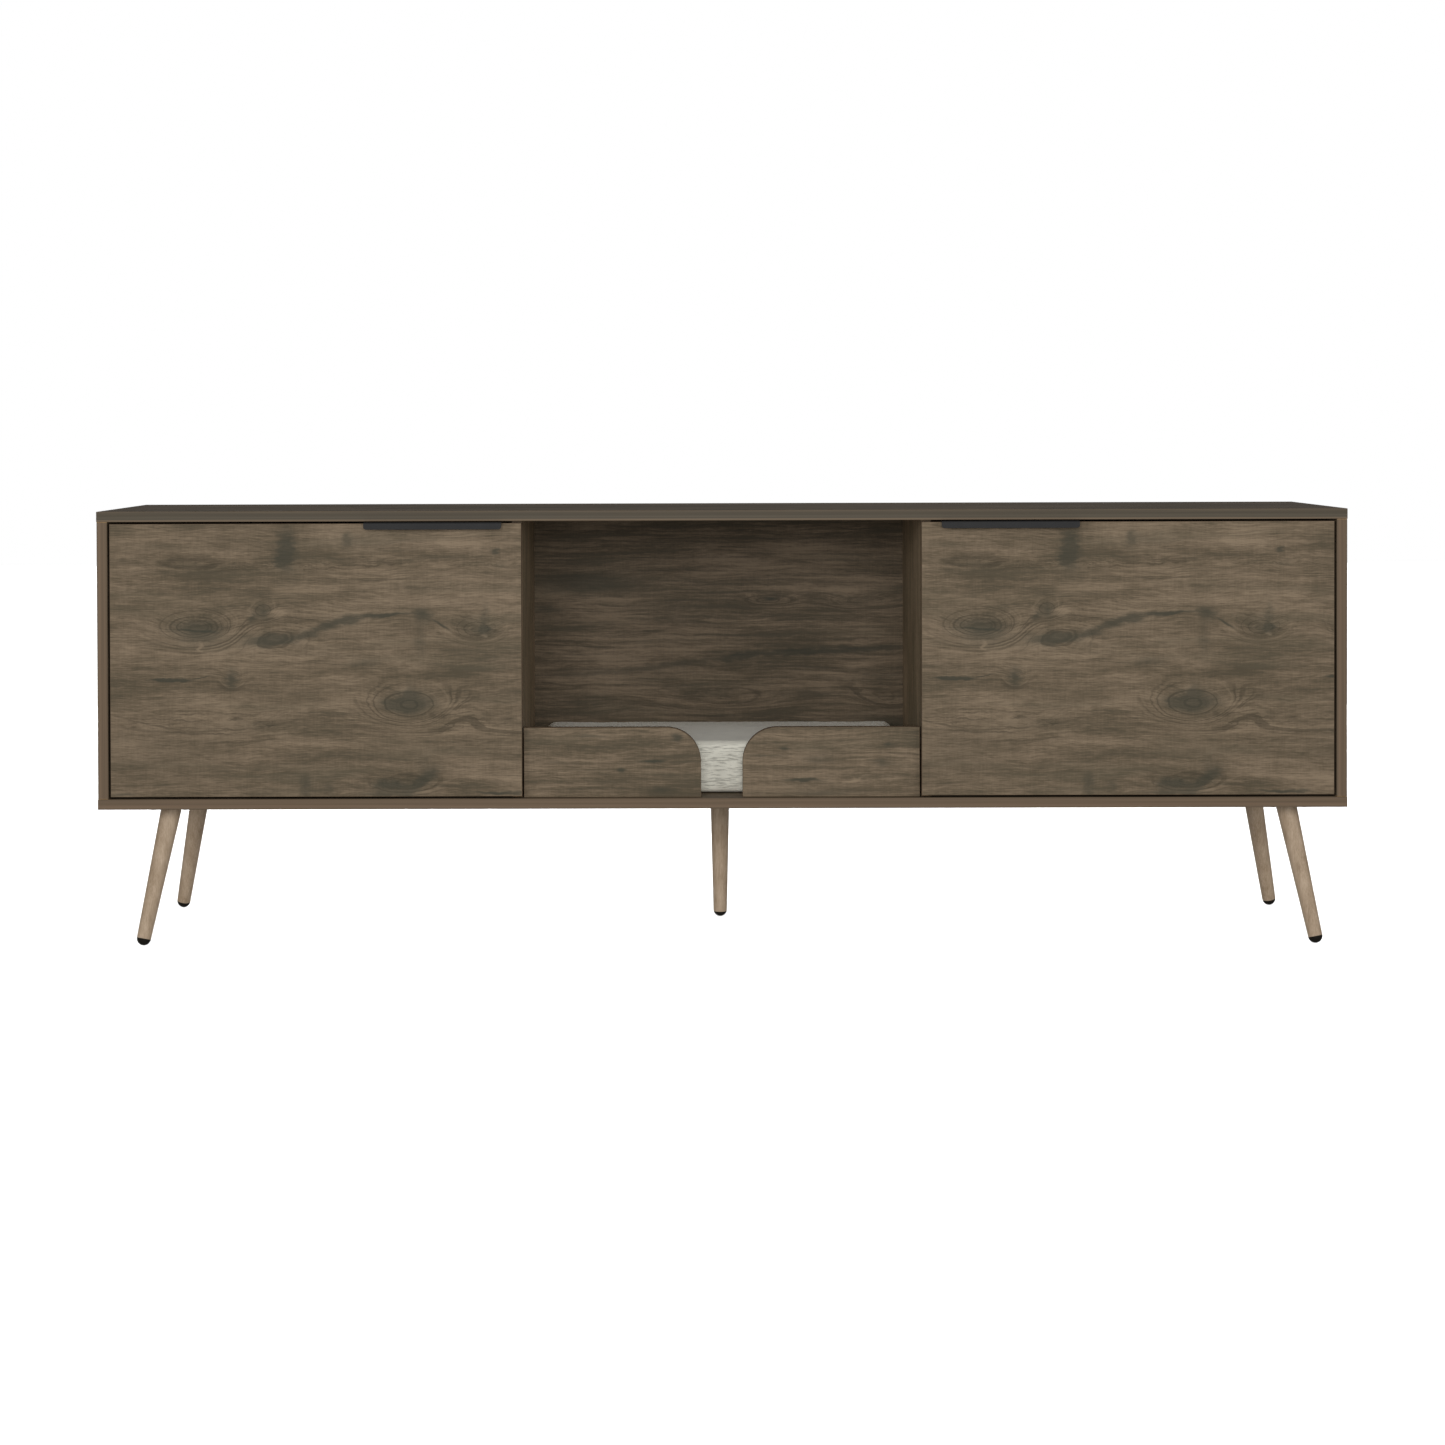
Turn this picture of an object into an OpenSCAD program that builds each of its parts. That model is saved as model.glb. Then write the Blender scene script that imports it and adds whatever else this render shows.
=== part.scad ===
// TV stand with two inset doors and an open centre bay that holds a low-fronted pet bed.
// Millimetres, +Z up. The origin is on the floor under the middle of the cabinet and the
// doors face -Y. Boards are laminated chipboard, the legs are turned and splayed.

/* [Overall] */
// Width over the top panel
width = 1800; // [1300:10:2400]
// Depth front to back
depth = 400; // [330:5:520]
// Height from the floor to the top face
height = 630; // [480:5:800]
// Height of the base panel's underside above the floor
leg_height = 200; // [120:5:260]

/* [Boards] */
// Thickness of the carcass boards, doors and shelves
board_t = 15; // [12:0.5:22]
// How far the top and base panels stand out past the side panels
end_overhang = 0.5; // [0:0.5:20]
// Thickness of the hardboard backs
back_t = 3; // [2.5:0.5:5]
// Distance from the rear edges to the backs
back_inset = 18; // [8:1:40]
// Depth of the grooves that hold the backs
groove_depth = 5; // [3:0.5:5.5]
// Gap between a back and the bottom of its groove
groove_play = 0.5; // [0.2:0.1:1]
// Gap on each face of a back in its groove
groove_clearance = 0.1; // [0.05:0.05:0.3]

/* [Centre bay] */
// Clear width between the dividers
bay_width = 576; // [400:2:760]
// Height of the two bed rails
rail_h = 101; // [60:1:160]
// Width of the way in between the rails
rail_opening = 60; // [40:2:200]
// Radius of the rails' inner top corners
rail_corner_r = 50; // [10:1:55]
// How far the rails stand back from the front edges
rail_setback = 13; // [2:1:40]
// Gap between a rail and the divider
rail_end_gap = 2; // [0.5:0.5:6]

/* [Cushion] */
// Thickness of the cushion
cushion_t = 76; // [30:1:120]
// Gap between the cushion and each divider
cushion_side_gap = 15.5; // [3:0.5:40]
// Gap between the cushion and the rails
cushion_front_gap = 22; // [3:1:60]
// Gap between the cushion and the back
cushion_back_gap = 9; // [3:1:60]
// Corner radius of the cushion seen from above
cushion_corner_r = 22; // [5:1:60]
// Gap under the cushion
cushion_lift = 0.3; // [0.1:0.1:1]

/* [Doors] */
// Gap round each door
door_gap = 3; // [2.4:0.1:4]
// How far the doors stand back from the front edges
door_setback = 2; // [0:0.5:4]
// Thickness of the door bumpers
bumper_t = 1.2; // [0.6:0.1:3]
// Diameter of the door bumpers
bumper_d = 8; // [5:0.5:12]
// Gap between a closed door and its bumpers
bumper_clearance = 0.3; // [0.1:0.1:0.6]
// Distance from the divider's ends to the bumpers
bumper_end = 40; // [15:1:90]

/* [Door pulls] */
// Width of a pull
pull_width = 198; // [80:1:300]
// Distance from the door's free edge to the pull
pull_offset = 28; // [15:1:120]
// Sheet thickness of a pull
pull_t = 1.5; // [1:0.1:2.5]
// How far the lip stands out in front of the door
pull_reach = 14; // [8:1:30]
// How far the lip drops below the door's top edge
pull_drop = 8.5; // [5:0.5:20]
// Height of the flange behind the door
pull_flange_h = 24; // [16:1:40]
// Radius of the lip's lower corners
pull_corner_r = 4; // [1:0.5:5]

/* [Hinges] */
// Diameter of a hinge cup
cup_d = 35; // [26:1:35]
// Depth of the cup in the door
cup_depth = 11.5; // [10.5:0.1:11.5]
// Distance from the door's edge to the cup's centre
cup_edge = 22.5; // [21:0.5:26]
// Distance from the door's ends to the cups' centres
hinge_end = 90; // [60:5:140]
// Sheet thickness of the cups
cup_wall = 1.2; // [0.8:0.1:1.5]
// Gap round a cup in its bore
cup_clearance = 0.1; // [0.05:0.05:0.3]
// Thickness of the hinge links
link_t = 3.2; // [2:0.1:3.6]
// Width of the hinge links
link_w = 9; // [6:0.5:11]
// Diameter of the pins in the cups
cup_pin_d = 3; // [2:0.1:3.5]
// Diameter of the pins in the arms
arm_pin_d = 4; // [3:0.1:5]
// Gap round a pin in its link
pin_clearance = 0.05; // [0.02:0.01:0.1]
// Gap between a link and the arm's cheeks
cheek_clearance = 0.3; // [0.2:0.05:0.6]
// Thickness of the arm's cheeks
cheek_t = 1.7; // [1.2:0.1:3]
// Thickness of the hinge plates
plate_t = 2; // [1.5:0.1:3]

/* [Shelves] */
// Height of the shelves' top face above the base panel
shelf_height = 200; // [110:5:290]
// How far the shelves stand back from the doors
shelf_setback = 30; // [20:5:120]
// Gap at each end of a shelf
shelf_end_gap = 1; // [0.5:0.5:3]
// Rows of shelf pin holes
pin_rows = 3; // [1:1:3]
// Spacing of the shelf pin holes
pin_pitch = 32; // [25:1:32]
// Diameter of the shelf pins in the boards
shelf_pin_d = 5; // [4:0.5:6]
// Diameter of the part of a pin that the shelf lies on
shelf_pin_head_d = 7; // [6:0.5:9]

/* [Legs] */
// Distance from the cabinet's ends to the tops of the corner legs
leg_inset_x = 87; // [60:1:260]
// Distance from the front and rear edges to the tops of the corner legs
leg_inset_y = 62; // [50:1:120]
// How far the whole set of corner legs stands to the right
leg_set_shift = 10; // [-10:1:10]
// How far a corner leg runs out sideways over its height
leg_splay = 38; // [0:1:50]
// Diameter at the top of a leg
leg_top_d = 30; // [24:0.5:38]
// Diameter at the foot of a leg
leg_foot_d = 20.5; // [16:0.5:26]
// How far the wood of a corner leg runs down into its rounded foot
corner_foot_wood = 0.5; // [0.5:0.5:4]
// How far the wood of the centre leg runs down into its rounded foot
centre_foot_wood = 2.5; // [0.5:0.5:4]
// Distance from the middle of the cabinet back to the centre leg
centre_leg_y = 78; // [-80:1:100]
// Side of a leg's mounting plate
leg_plate_side = 62; // [54:1:80]
// Thickness of a leg's mounting plate
leg_plate_t = 2.5; // [1.5:0.1:4]

/* [Fasteners] */
// Diameter of the dowels
dowel_d = 8; // [6:1:8]
// Diameter of the cam locks
cam_d = 15; // [12:1:16]
// Distance from a board's end to the centre of its cam locks
cam_end = 34; // [24:1:34]
// Gap round every screw, bolt, dowel and cam in its hole
hole_clearance = 0.05; // [0.02:0.01:0.2]

/* [Hidden] */
$fn = 64;
fine = 96;
slop = 1;
overlap = 0.01;
end_gap = 0.5;

LEFT = -1;
RIGHT = 1;
FRONT = -1;
REAR = 1;

// Colours
wood = [0.42, 0.37, 0.30];
dark_wood = [0.27, 0.22, 0.17];
oak = [0.65, 0.58, 0.49];
charcoal = [0.21, 0.21, 0.21];
nickel = [0.72, 0.71, 0.69];
zinc = [0.78, 0.78, 0.80];
beech = [0.80, 0.66, 0.48];
soft_white = [0.83, 0.83, 0.80];
black_plastic = [0.08, 0.07, 0.06];
clear_grey = [0.75, 0.76, 0.76];

// Carcass
front_y = -depth / 2;
base_z = leg_height + board_t;
roof_z = height - board_t;
inside_h = roof_z - base_z;
side_in_x = width / 2 - end_overhang - board_t;
bay_x = bay_width / 2;
cell_w = side_in_x - bay_x - board_t;
back_front_d = depth - back_inset - back_t;
back_grip = groove_depth - groove_play;

// Doors, measured in a cell's own frame: u from the side panel's inner face towards the
// middle, v from the front edges towards the rear.
door_w = side_in_x - bay_x - door_gap;
door_z = base_z + door_gap;
door_h = inside_h - 2 * door_gap;
door_back_v = door_setback + board_t;
divider_v = door_back_v + bumper_t + bumper_clearance;
bumper_zs = [base_z + bumper_end, roof_z - bumper_end];
hinge_zs = [door_z + hinge_end, door_z + door_h - hinge_end];

// Hinge linkage. The cup pin sits near the cup's mouth. The door starts to turn about
// start_turn, just inside its outer front corner, and the link turns half as far as the
// door and the other way, which puts the arm pin at arm_pin.
link_share = 0.5;
cup_centre_u = door_gap + cup_edge;
cup_r = cup_d / 2;
cup_pin_offset = [8, -3.5];
cup_pin = [cup_centre_u - cup_r, door_back_v] + cup_pin_offset;
start_turn_offset = [2, -1];
start_turn = [door_gap, door_setback] + start_turn_offset;
arm_pin = cup_pin + (cup_pin - start_turn) / link_share;
bend_wall_gap = 8.5;
bend_offset = cup_r - bend_wall_gap;
bend_centre = cup_pin + [bend_offset, bend_offset];
bend_r = norm(cup_pin - bend_centre);
cup_eye_wall = 1.5;
cup_eye_r = cup_pin_d / 2 + cup_eye_wall;
arm_eye_wall = 2.5;
arm_eye_r = arm_pin_d / 2 + arm_eye_wall;
cup_bore_r = cup_r + cup_clearance;
flange_t = cup_wall;
cup_rim = 1.2;
cup_rim_r = cup_r + cup_rim;
ear_offset = 9.5;
ear_w = 14;
ear_span = 59;
cup_screw_z = 22.5;
arm_half_w = link_w / 2 + cheek_clearance + cheek_t;
arm_h = 12;
arm_top_u = plate_t + arm_h;
arm_nose_wall = 1;
arm_nose_r = arm_eye_r + arm_nose_wall;
arm_crank = 13;
arm_start_v = arm_pin[1] + arm_crank;
arm_length = 48;
arm_end_v = arm_start_v + arm_length;
arm_toe = 3;
arm_throat = [7, 4];
arm_shoulder = [2, 2];
arm_step = 7;
fork_play = 5;
fork_r = arm_eye_r + fork_play;
plate_lead = 4;
plate_tail = 3;
plate_wing_v = arm_start_v + arm_length / 2;
plate_wing_w = 16;
plate_wing_span = 48;
plate_stem_w = 16;
plate_screw_z = 16;
arm_screw_end = 9;
arm_screw_v = arm_end_v - arm_screw_end;
arm_screw_grip = 0.75;

// Screws: shank diameter, length under the head, head diameter, head height. A pan head's
// cross slot is given as shares of the head's diameter and height.
small_screw = [3.5, 11, 7, 2];
arm_screw = [4, arm_h + arm_screw_grip * plate_t, 7, 2];
leg_screw = [4, 13, 7.5, 2.2];
panel_screw = [5, 50, 10, 3];
pull_screw = [3, 10, 6, 1.8];
slot_w_share = 0.16;
slot_length_share = 0.6;
slot_depth_share = 0.6;
socket_d = 4;
socket_depth = 2.5;

// Shelves
shelf_z = base_z + shelf_height - board_t;
shelf_v = door_back_v + shelf_setback;
shelf_back_gap = 2;
shelf_depth = back_front_d - shelf_back_gap - shelf_v;
shelf_pin_z = shelf_z - shelf_pin_head_d / 2;
shelf_pin_in = 8;
shelf_pin_out = 7;
shelf_pin_front = 28;
shelf_pin_rear = 35;
shelf_pin_vs = [shelf_v + shelf_pin_front, shelf_v + shelf_depth - shelf_pin_rear];

// Pulls
pull_u = door_gap + door_w - pull_offset - pull_width;
pull_back_v = door_back_v + pull_t;
pull_front_v = door_setback - pull_reach;
pull_top_z = door_z + door_h + pull_t;
pull_screw_end = 25;
pull_screw_us = [pull_u + pull_screw_end, pull_u + pull_width - pull_screw_end];
pull_screw_drop = 2;
pull_screw_z = door_z + door_h - pull_flange_h / 2 - pull_screw_drop;

// Bed rails
rail_w = bay_x - rail_opening / 2 - rail_end_gap;
rail_v = rail_setback;
rail_screw_end = 50;
rail_screw_xs = [rail_opening / 2 + rail_screw_end, bay_x - rail_end_gap - rail_screw_end];

// Cushion
cushion_w = bay_width - 2 * cushion_side_gap;
cushion_front_y = front_y + rail_v + board_t + cushion_front_gap;
cushion_rear_y = front_y + back_front_d - cushion_back_gap;

// Legs
foot_r = leg_foot_d / 2;
leg_top_z = leg_height - leg_plate_t;
leg_bolt_d = 8;
leg_bolt_in = 35;
leg_bolt_out = 9;
leg_pocket_d = 20;
leg_pocket_depth = 11;
leg_screw_margin = 8;
leg_screw_pitch = leg_plate_side - 2 * leg_screw_margin;
leg_plate_corner = 5;
cap_peg_d = 5;
cap_peg_h = 12;

// Corner joints
joint_x_side = side_in_x + board_t / 2;
joint_x_divider = bay_x + board_t / 2;
dowel_front = 32;
dowel_rear = 70;
lock_front = 72;
lock_rear = 110;
dowel_vs = [divider_v + dowel_front, depth - dowel_rear];
lock_vs = [divider_v + lock_front, depth - lock_rear];
cam_full_depth = 12.5;
cam_skin = 2;
cam_bolt_short = 4;
dowel_in_panel = 10;
dowel_in_board = 20;
cam_depth = min(cam_full_depth, board_t - cam_skin);
cam_bolt_d = 7;
cam_bolt_screw_d = 5;
cam_bolt_in_panel = 10;
cam_bolt_reach = cam_end - cam_bolt_short;

// ---------------------------------------------------------------- helpers

// A cell's own frame: x is u, y is v, z is the height above the floor.
module in_cell(side) {
    if (side == LEFT) {
        translate([-side_in_x, front_y, 0]) children();
    } else {
        mirror([1, 0, 0]) translate([-side_in_x, front_y, 0]) children();
    }
}

// Puts children on one side of the cabinet's middle plane; they are drawn on the right.
module on_side(side) {
    if (side == LEFT) {
        mirror([1, 0, 0]) children();
    } else {
        children();
    }
}

// A rod along +X, +Y or +Z from the origin
module rod_x(d, length) {
    rotate([0, 90, 0]) cylinder(d = d, h = length);
}

module rod_y(d, length) {
    rotate([-90, 0, 0]) cylinder(d = d, h = length);
}

// A pan-head screw that points along +Z, its head's seat at z = 0
module pan_screw(size) {
    slot_w = size[2] * slot_w_share;
    slot_length = size[2] * slot_length_share;
    difference() {
        union() {
            cylinder(d = size[0], h = size[1]);
            translate([0, 0, -size[3]]) cylinder(d = size[2], h = size[3]);
        }
        for (turn = [0, 90]) {
            rotate([0, 0, turn])
                translate([-slot_length / 2, -slot_w / 2, -size[3] - slop])
                    cube([slot_length, slot_w, slop + size[3] * slot_depth_share]);
        }
    }
}

// A flat-head panel screw with a six-sided socket, pointing along +Z, its face at z = 0
module flat_screw(size) {
    difference() {
        union() {
            cylinder(d = size[0], h = size[1]);
            cylinder(d1 = size[2], d2 = size[0], h = size[3]);
        }
        translate([0, 0, -slop]) cylinder(d = socket_d, h = slop + socket_depth, $fn = 6);
    }
}

// The hole for a flat-head panel screw
module flat_screw_hole(size) {
    clear = 2 * hole_clearance;
    translate([0, 0, -slop]) cylinder(d = size[0] + clear, h = size[1] + slop + end_gap);
    cylinder(d1 = size[2] + clear, d2 = size[0] + clear, h = size[3]);
    translate([0, 0, -slop]) cylinder(d = size[2] + clear, h = slop);
}

// A rectangle with its two lower corners rounded, its top edge on y = 0
module lip_outline(w, h, r) {
    translate([0, -(h - r)]) square([w, h - r]);
    translate([r, -h]) square([w - 2 * r, r + overlap]);
    for (x = [r, w - r]) {
        translate([x, -(h - r)]) circle(r = r);
    }
}

// A rectangle with four rounded corners, centred
module rounded_outline(w, d, r) {
    square([w - 2 * r, d], center = true);
    square([w, d - 2 * r], center = true);
    for (x = [-1, 1], y = [-1, 1]) {
        translate([x * (w / 2 - r), y * (d / 2 - r)]) circle(r = r);
    }
}

// ---------------------------------------------------------------- corner joints

// Dowels that stand in an upright board, its middle plane at x = 0, at one end
module joint_dowels(end, clear) {
    foot = dowel_in_panel + clear;
    low = end == "top" ? roof_z - dowel_in_board - clear : base_z - foot;
    wide = clear > 0 ? 2 * hole_clearance : 0;
    for (v = dowel_vs) {
        translate([0, front_y + v, low])
            cylinder(d = dowel_d + wide, h = dowel_in_board + foot + clear);
    }
}

// The screws that hold an upright board to the base panel
module joint_screws() {
    for (v = lock_vs) {
        translate([0, front_y + v, leg_height]) flat_screw(panel_screw);
    }
}

module joint_screw_holes() {
    for (v = lock_vs) {
        translate([0, front_y + v, leg_height]) flat_screw_hole(panel_screw);
    }
}

// The bolts that stand in the top panel and reach down to the cam locks
module joint_bolts(clear) {
    wide = 2 * clear;
    low = clear > 0 ? slop : 0;
    gap = clear > 0 ? end_gap : 0;
    for (v = lock_vs) {
        translate([0, front_y + v, roof_z]) {
            translate([0, 0, -low])
                cylinder(d = cam_bolt_screw_d + wide, h = low + cam_bolt_in_panel + gap);
            translate([0, 0, -cam_bolt_reach - gap])
                cylinder(d = cam_bolt_d + wide, h = cam_bolt_reach + gap);
        }
    }
}

// The cam locks, let into the board's face that looks to +X when face is 1
module joint_cams(face, clear) {
    for (v = lock_vs) {
        translate([face * (board_t / 2 - cam_depth), front_y + v, roof_z - cam_end])
            mirror([face == 1 ? 0 : 1, 0, 0])
                rod_x(cam_d + 2 * clear, cam_depth + (clear > 0 ? slop : 0));
    }
}

// All the holes that the corner joints need in an upright board centred on x = 0
module joint_holes(face) {
    joint_dowels("top", end_gap);
    joint_dowels("base", end_gap);
    joint_screw_holes();
    joint_bolts(hole_clearance);
    joint_cams(face, hole_clearance);
}

module at_uprights() {
    for (side = [LEFT, RIGHT]) {
        on_side(side) {
            translate([joint_x_side, 0, 0]) children();
            translate([joint_x_divider, 0, 0]) children();
        }
    }
}

// ---------------------------------------------------------------- carcass

// The groove that the three backs share, running along the panels or up the boards
module long_groove(z) {
    translate([-side_in_x - groove_depth, front_y + back_front_d - groove_clearance, z])
        cube([2 * (side_in_x + groove_depth), back_t + 2 * groove_clearance, groove_depth + slop]);
}

module upright_groove(x) {
    translate([x, front_y + back_front_d - groove_clearance, base_z - slop])
        cube([groove_depth + slop, back_t + 2 * groove_clearance, inside_h + 2 * slop]);
}

module top_panel() {
    color(wood)
        difference() {
            translate([-width / 2, front_y, roof_z]) cube([width, depth, board_t]);
            long_groove(roof_z - slop);
            at_uprights() {
                joint_dowels("top", end_gap);
                joint_bolts(hole_clearance);
            }
        }
}

module base_panel() {
    color(wood)
        difference() {
            translate([-width / 2, front_y, leg_height]) cube([width, depth, board_t]);
            long_groove(base_z - groove_depth);
            at_uprights() {
                joint_dowels("base", end_gap);
                joint_screw_holes();
            }
            rail_screw_holes();
            at_legs() leg_fixings_holes();
        }
}

module side_panel(side) {
    color(wood)
        difference() {
            on_side(side)
                difference() {
                    translate([side_in_x, front_y, base_z]) cube([board_t, depth, inside_h]);
                    upright_groove(side_in_x - slop);
                    translate([joint_x_side, 0, 0]) joint_holes(-1);
                }
            in_cell(side) {
                shelf_pin_holes(0, -1);
                hinge_screw_holes();
            }
        }
}

module divider(side) {
    color(wood)
        difference() {
            on_side(side)
                difference() {
                    translate([bay_x, front_y + divider_v, base_z])
                        cube([board_t, depth - divider_v, inside_h]);
                    upright_groove(bay_x - slop);
                    upright_groove(bay_x + board_t - groove_depth);
                    translate([joint_x_divider, 0, 0]) joint_holes(1);
                }
            in_cell(side) shelf_pin_holes(cell_w, 1);
        }
}

// A back held in grooves on all four sides, between the boards' faces x0 and x1
module back_panel(x0, x1) {
    translate([x0 - back_grip, front_y + back_front_d, base_z - back_grip])
        cube([x1 - x0 + 2 * back_grip, back_t, inside_h + 2 * back_grip]);
}

module cell_back_panel(side) {
    color(dark_wood) on_side(side) back_panel(bay_x + board_t, side_in_x);
}

module centre_back_panel() {
    color(dark_wood) back_panel(-bay_x, bay_x);
}

module dowels() {
    color(beech)
        at_uprights() {
            joint_dowels("top", 0);
            joint_dowels("base", 0);
        }
}

module cam_bolts() {
    color(zinc)
        difference() {
            at_uprights() joint_bolts(0);
            cam_lock_bodies(hole_clearance);
        }
}

module cam_lock_bodies(clear) {
    for (side = [LEFT, RIGHT]) {
        on_side(side) {
            translate([joint_x_side, 0, 0]) joint_cams(-1, clear);
            translate([joint_x_divider, 0, 0]) joint_cams(1, clear);
        }
    }
}

module cam_locks() {
    color(zinc) cam_lock_bodies(0);
}

module carcass_screws() {
    color(zinc) at_uprights() joint_screws();
}

// ---------------------------------------------------------------- shelves

// Holes for the shelf pins in the face at u, sunk towards dir
module shelf_pin_holes(u, dir) {
    for (v = shelf_pin_vs, row = [0 : pin_rows - 1]) {
        translate([u, v, shelf_pin_z + (row - floor(pin_rows / 2)) * pin_pitch])
            mirror([dir == 1 ? 0 : 1, 0, 0])
                translate([-slop, 0, 0])
                    rod_x(shelf_pin_d + 2 * hole_clearance, shelf_pin_in + slop + end_gap);
    }
}

module shelf(side) {
    color(wood)
        in_cell(side)
            translate([shelf_end_gap, shelf_v, shelf_z])
                cube([cell_w - 2 * shelf_end_gap, shelf_depth, board_t]);
}

module shelf_pins(side) {
    color(zinc)
        in_cell(side)
            for (v = shelf_pin_vs, u = [0, cell_w]) {
                translate([u, v, shelf_pin_z])
                    mirror([u == 0 ? 0 : 1, 0, 0]) {
                        rod_x(shelf_pin_head_d, shelf_pin_out);
                        translate([-shelf_pin_in, 0, 0]) rod_x(shelf_pin_d, shelf_pin_in);
                    }
            }
}

// ---------------------------------------------------------------- doors

module at_cups() {
    for (z = hinge_zs) {
        translate([cup_centre_u, door_back_v, z]) children();
    }
}

module door(side) {
    color(wood)
        in_cell(side)
            difference() {
                translate([door_gap, door_setback, door_z]) cube([door_w, board_t, door_h]);
                at_cups() {
                    translate([0, -cup_depth - cup_clearance, 0])
                        rod_y(2 * cup_bore_r, cup_depth + cup_clearance + slop, $fn = fine);
                    at_cup_screws()
                        translate([0, flange_t - small_screw[1] - end_gap, 0])
                            rod_y(small_screw[0] + 2 * hole_clearance, small_screw[1] + slop);
                }
                for (u = pull_screw_us) {
                    translate([u, pull_back_v - pull_screw[1] - end_gap, pull_screw_z])
                        rod_y(pull_screw[0] + 2 * hole_clearance, pull_screw[1] + slop);
                }
            }
}

module pull(side) {
    color(charcoal)
        in_cell(side)
            difference() {
                union() {
                    // lip in front of the door
                    translate([pull_u, pull_front_v + pull_t, pull_top_z])
                        rotate([90, 0, 0])
                            linear_extrude(pull_t)
                                lip_outline(pull_width, pull_drop + pull_t, pull_corner_r);
                    // plate over the door's top edge
                    translate([pull_u, pull_front_v, pull_top_z - pull_t])
                        cube([pull_width, pull_back_v - pull_front_v, pull_t]);
                    // flange behind the door
                    translate([pull_u, pull_back_v, pull_top_z])
                        rotate([90, 0, 0])
                            linear_extrude(pull_t)
                                lip_outline(pull_width, pull_flange_h + pull_t, pull_corner_r);
                }
                for (u = pull_screw_us) {
                    translate([u, door_back_v - slop, pull_screw_z])
                        rod_y(pull_screw[0] + 2 * hole_clearance, pull_t + 2 * slop);
                }
            }
}

module pull_screws(side) {
    color(zinc)
        in_cell(side)
            for (u = pull_screw_us) {
                translate([u, pull_back_v, pull_screw_z]) rotate([90, 0, 0]) pan_screw(pull_screw);
            }
}

module bumpers(side) {
    color(clear_grey)
        in_cell(side)
            for (z = bumper_zs) {
                translate([cell_w + board_t / 2, divider_v - bumper_t, z])
                    rod_y(bumper_d, bumper_t);
            }
}

// ---------------------------------------------------------------- hinges

module at_cup_screws() {
    for (z = [-cup_screw_z, cup_screw_z]) {
        translate([ear_offset, 0, z]) children();
    }
}

// Cup with its mouth at y = 0 and its bottom towards -Y
module hinge_cups(side) {
    color(nickel)
        in_cell(side)
            difference() {
                at_cups()
                    difference() {
                        union() {
                            translate([0, -cup_depth, 0]) rod_y(cup_d, cup_depth, $fn = fine);
                            rod_y(2 * cup_rim_r, flange_t, $fn = fine);
                            translate([ear_offset - ear_w / 2, 0, -ear_span / 2])
                                cube([ear_w, flange_t, ear_span]);
                        }
                        translate([0, -cup_depth + cup_wall, 0])
                            rod_y(cup_d - 2 * cup_wall, cup_depth + slop, $fn = fine);
                        at_cup_screws()
                            translate([0, -slop, 0])
                                rod_y(small_screw[0] + 2 * hole_clearance, flange_t + 2 * slop);
                    }
                pin_rods(cup_pin, cup_pin_d + 2 * hole_clearance, 2 * cup_pin_reach() + 2 * slop);
            }
}

// Half the length of a cup pin, whose ends stay inside the cup's wall all round
function cup_pin_reach() =
    sqrt(pow(cup_r - cup_wall / 2, 2) - pow(cup_centre_u - cup_pin[0] + cup_pin_d / 2, 2));

// Upright rods of one length through a pin's place at both hinges
module pin_rods(place, d, length) {
    for (z = hinge_zs) {
        translate([place[0], place[1], z - length / 2]) cylinder(d = d, h = length);
    }
}

module cup_pins(side) {
    color(zinc) in_cell(side) pin_rods(cup_pin, cup_pin_d, 2 * cup_pin_reach());
}

module arm_pins(side) {
    color(zinc) in_cell(side) pin_rods(arm_pin, arm_pin_d, 2 * arm_half_w);
}

module cup_screws(side) {
    color(zinc)
        in_cell(side)
            at_cups()
                at_cup_screws()
                    translate([0, flange_t, 0]) rotate([90, 0, 0]) pan_screw(small_screw);
}

// The bent link seen from above: an arc that dips into the cup, then a straight bar
module link_outline() {
    bar = arm_pin - bend_centre - [bend_r, 0];
    far = 4 * bend_r;
    start = cup_pin - bend_centre;
    translate(bend_centre) {
        intersection() {
            difference() {
                circle(r = bend_r + link_t / 2, $fn = fine);
                circle(r = bend_r - link_t / 2, $fn = fine);
            }
            polygon([[0, 0], start * 3, [start[0], -far], [far, -far], [far, 0]]);
        }
        translate([bend_r, 0])
            rotate(atan2(bar[1], bar[0]))
                translate([0, -link_t / 2]) square([norm(bar), link_t]);
    }
    translate(cup_pin) circle(r = cup_eye_r);
    translate(arm_pin) circle(r = arm_eye_r);
}

module hinge_links(side) {
    color(nickel)
        in_cell(side)
            difference() {
                for (z = hinge_zs) {
                    translate([0, 0, z - link_w / 2]) linear_extrude(link_w) link_outline();
                }
                pin_rods(cup_pin, cup_pin_d + 2 * pin_clearance, link_w + 2 * slop);
                pin_rods(arm_pin, arm_pin_d + 2 * pin_clearance, link_w + 2 * slop);
            }
}

// The cranked arm seen from above
module arm_outline() {
    nose = arm_pin[0];
    polygon([
        [plate_t, arm_start_v - arm_toe],
        [plate_t, arm_pin[1]] + arm_throat,
        [nose - arm_nose_wall, arm_pin[1] - arm_nose_r],
        [nose, arm_pin[1] + arm_nose_r],
        [arm_top_u, arm_start_v] + arm_shoulder,
        [arm_top_u, arm_start_v + arm_step],
        [arm_top_u, arm_end_v],
        [plate_t, arm_end_v],
    ]);
    translate(arm_pin) circle(r = arm_nose_r);
}

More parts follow.
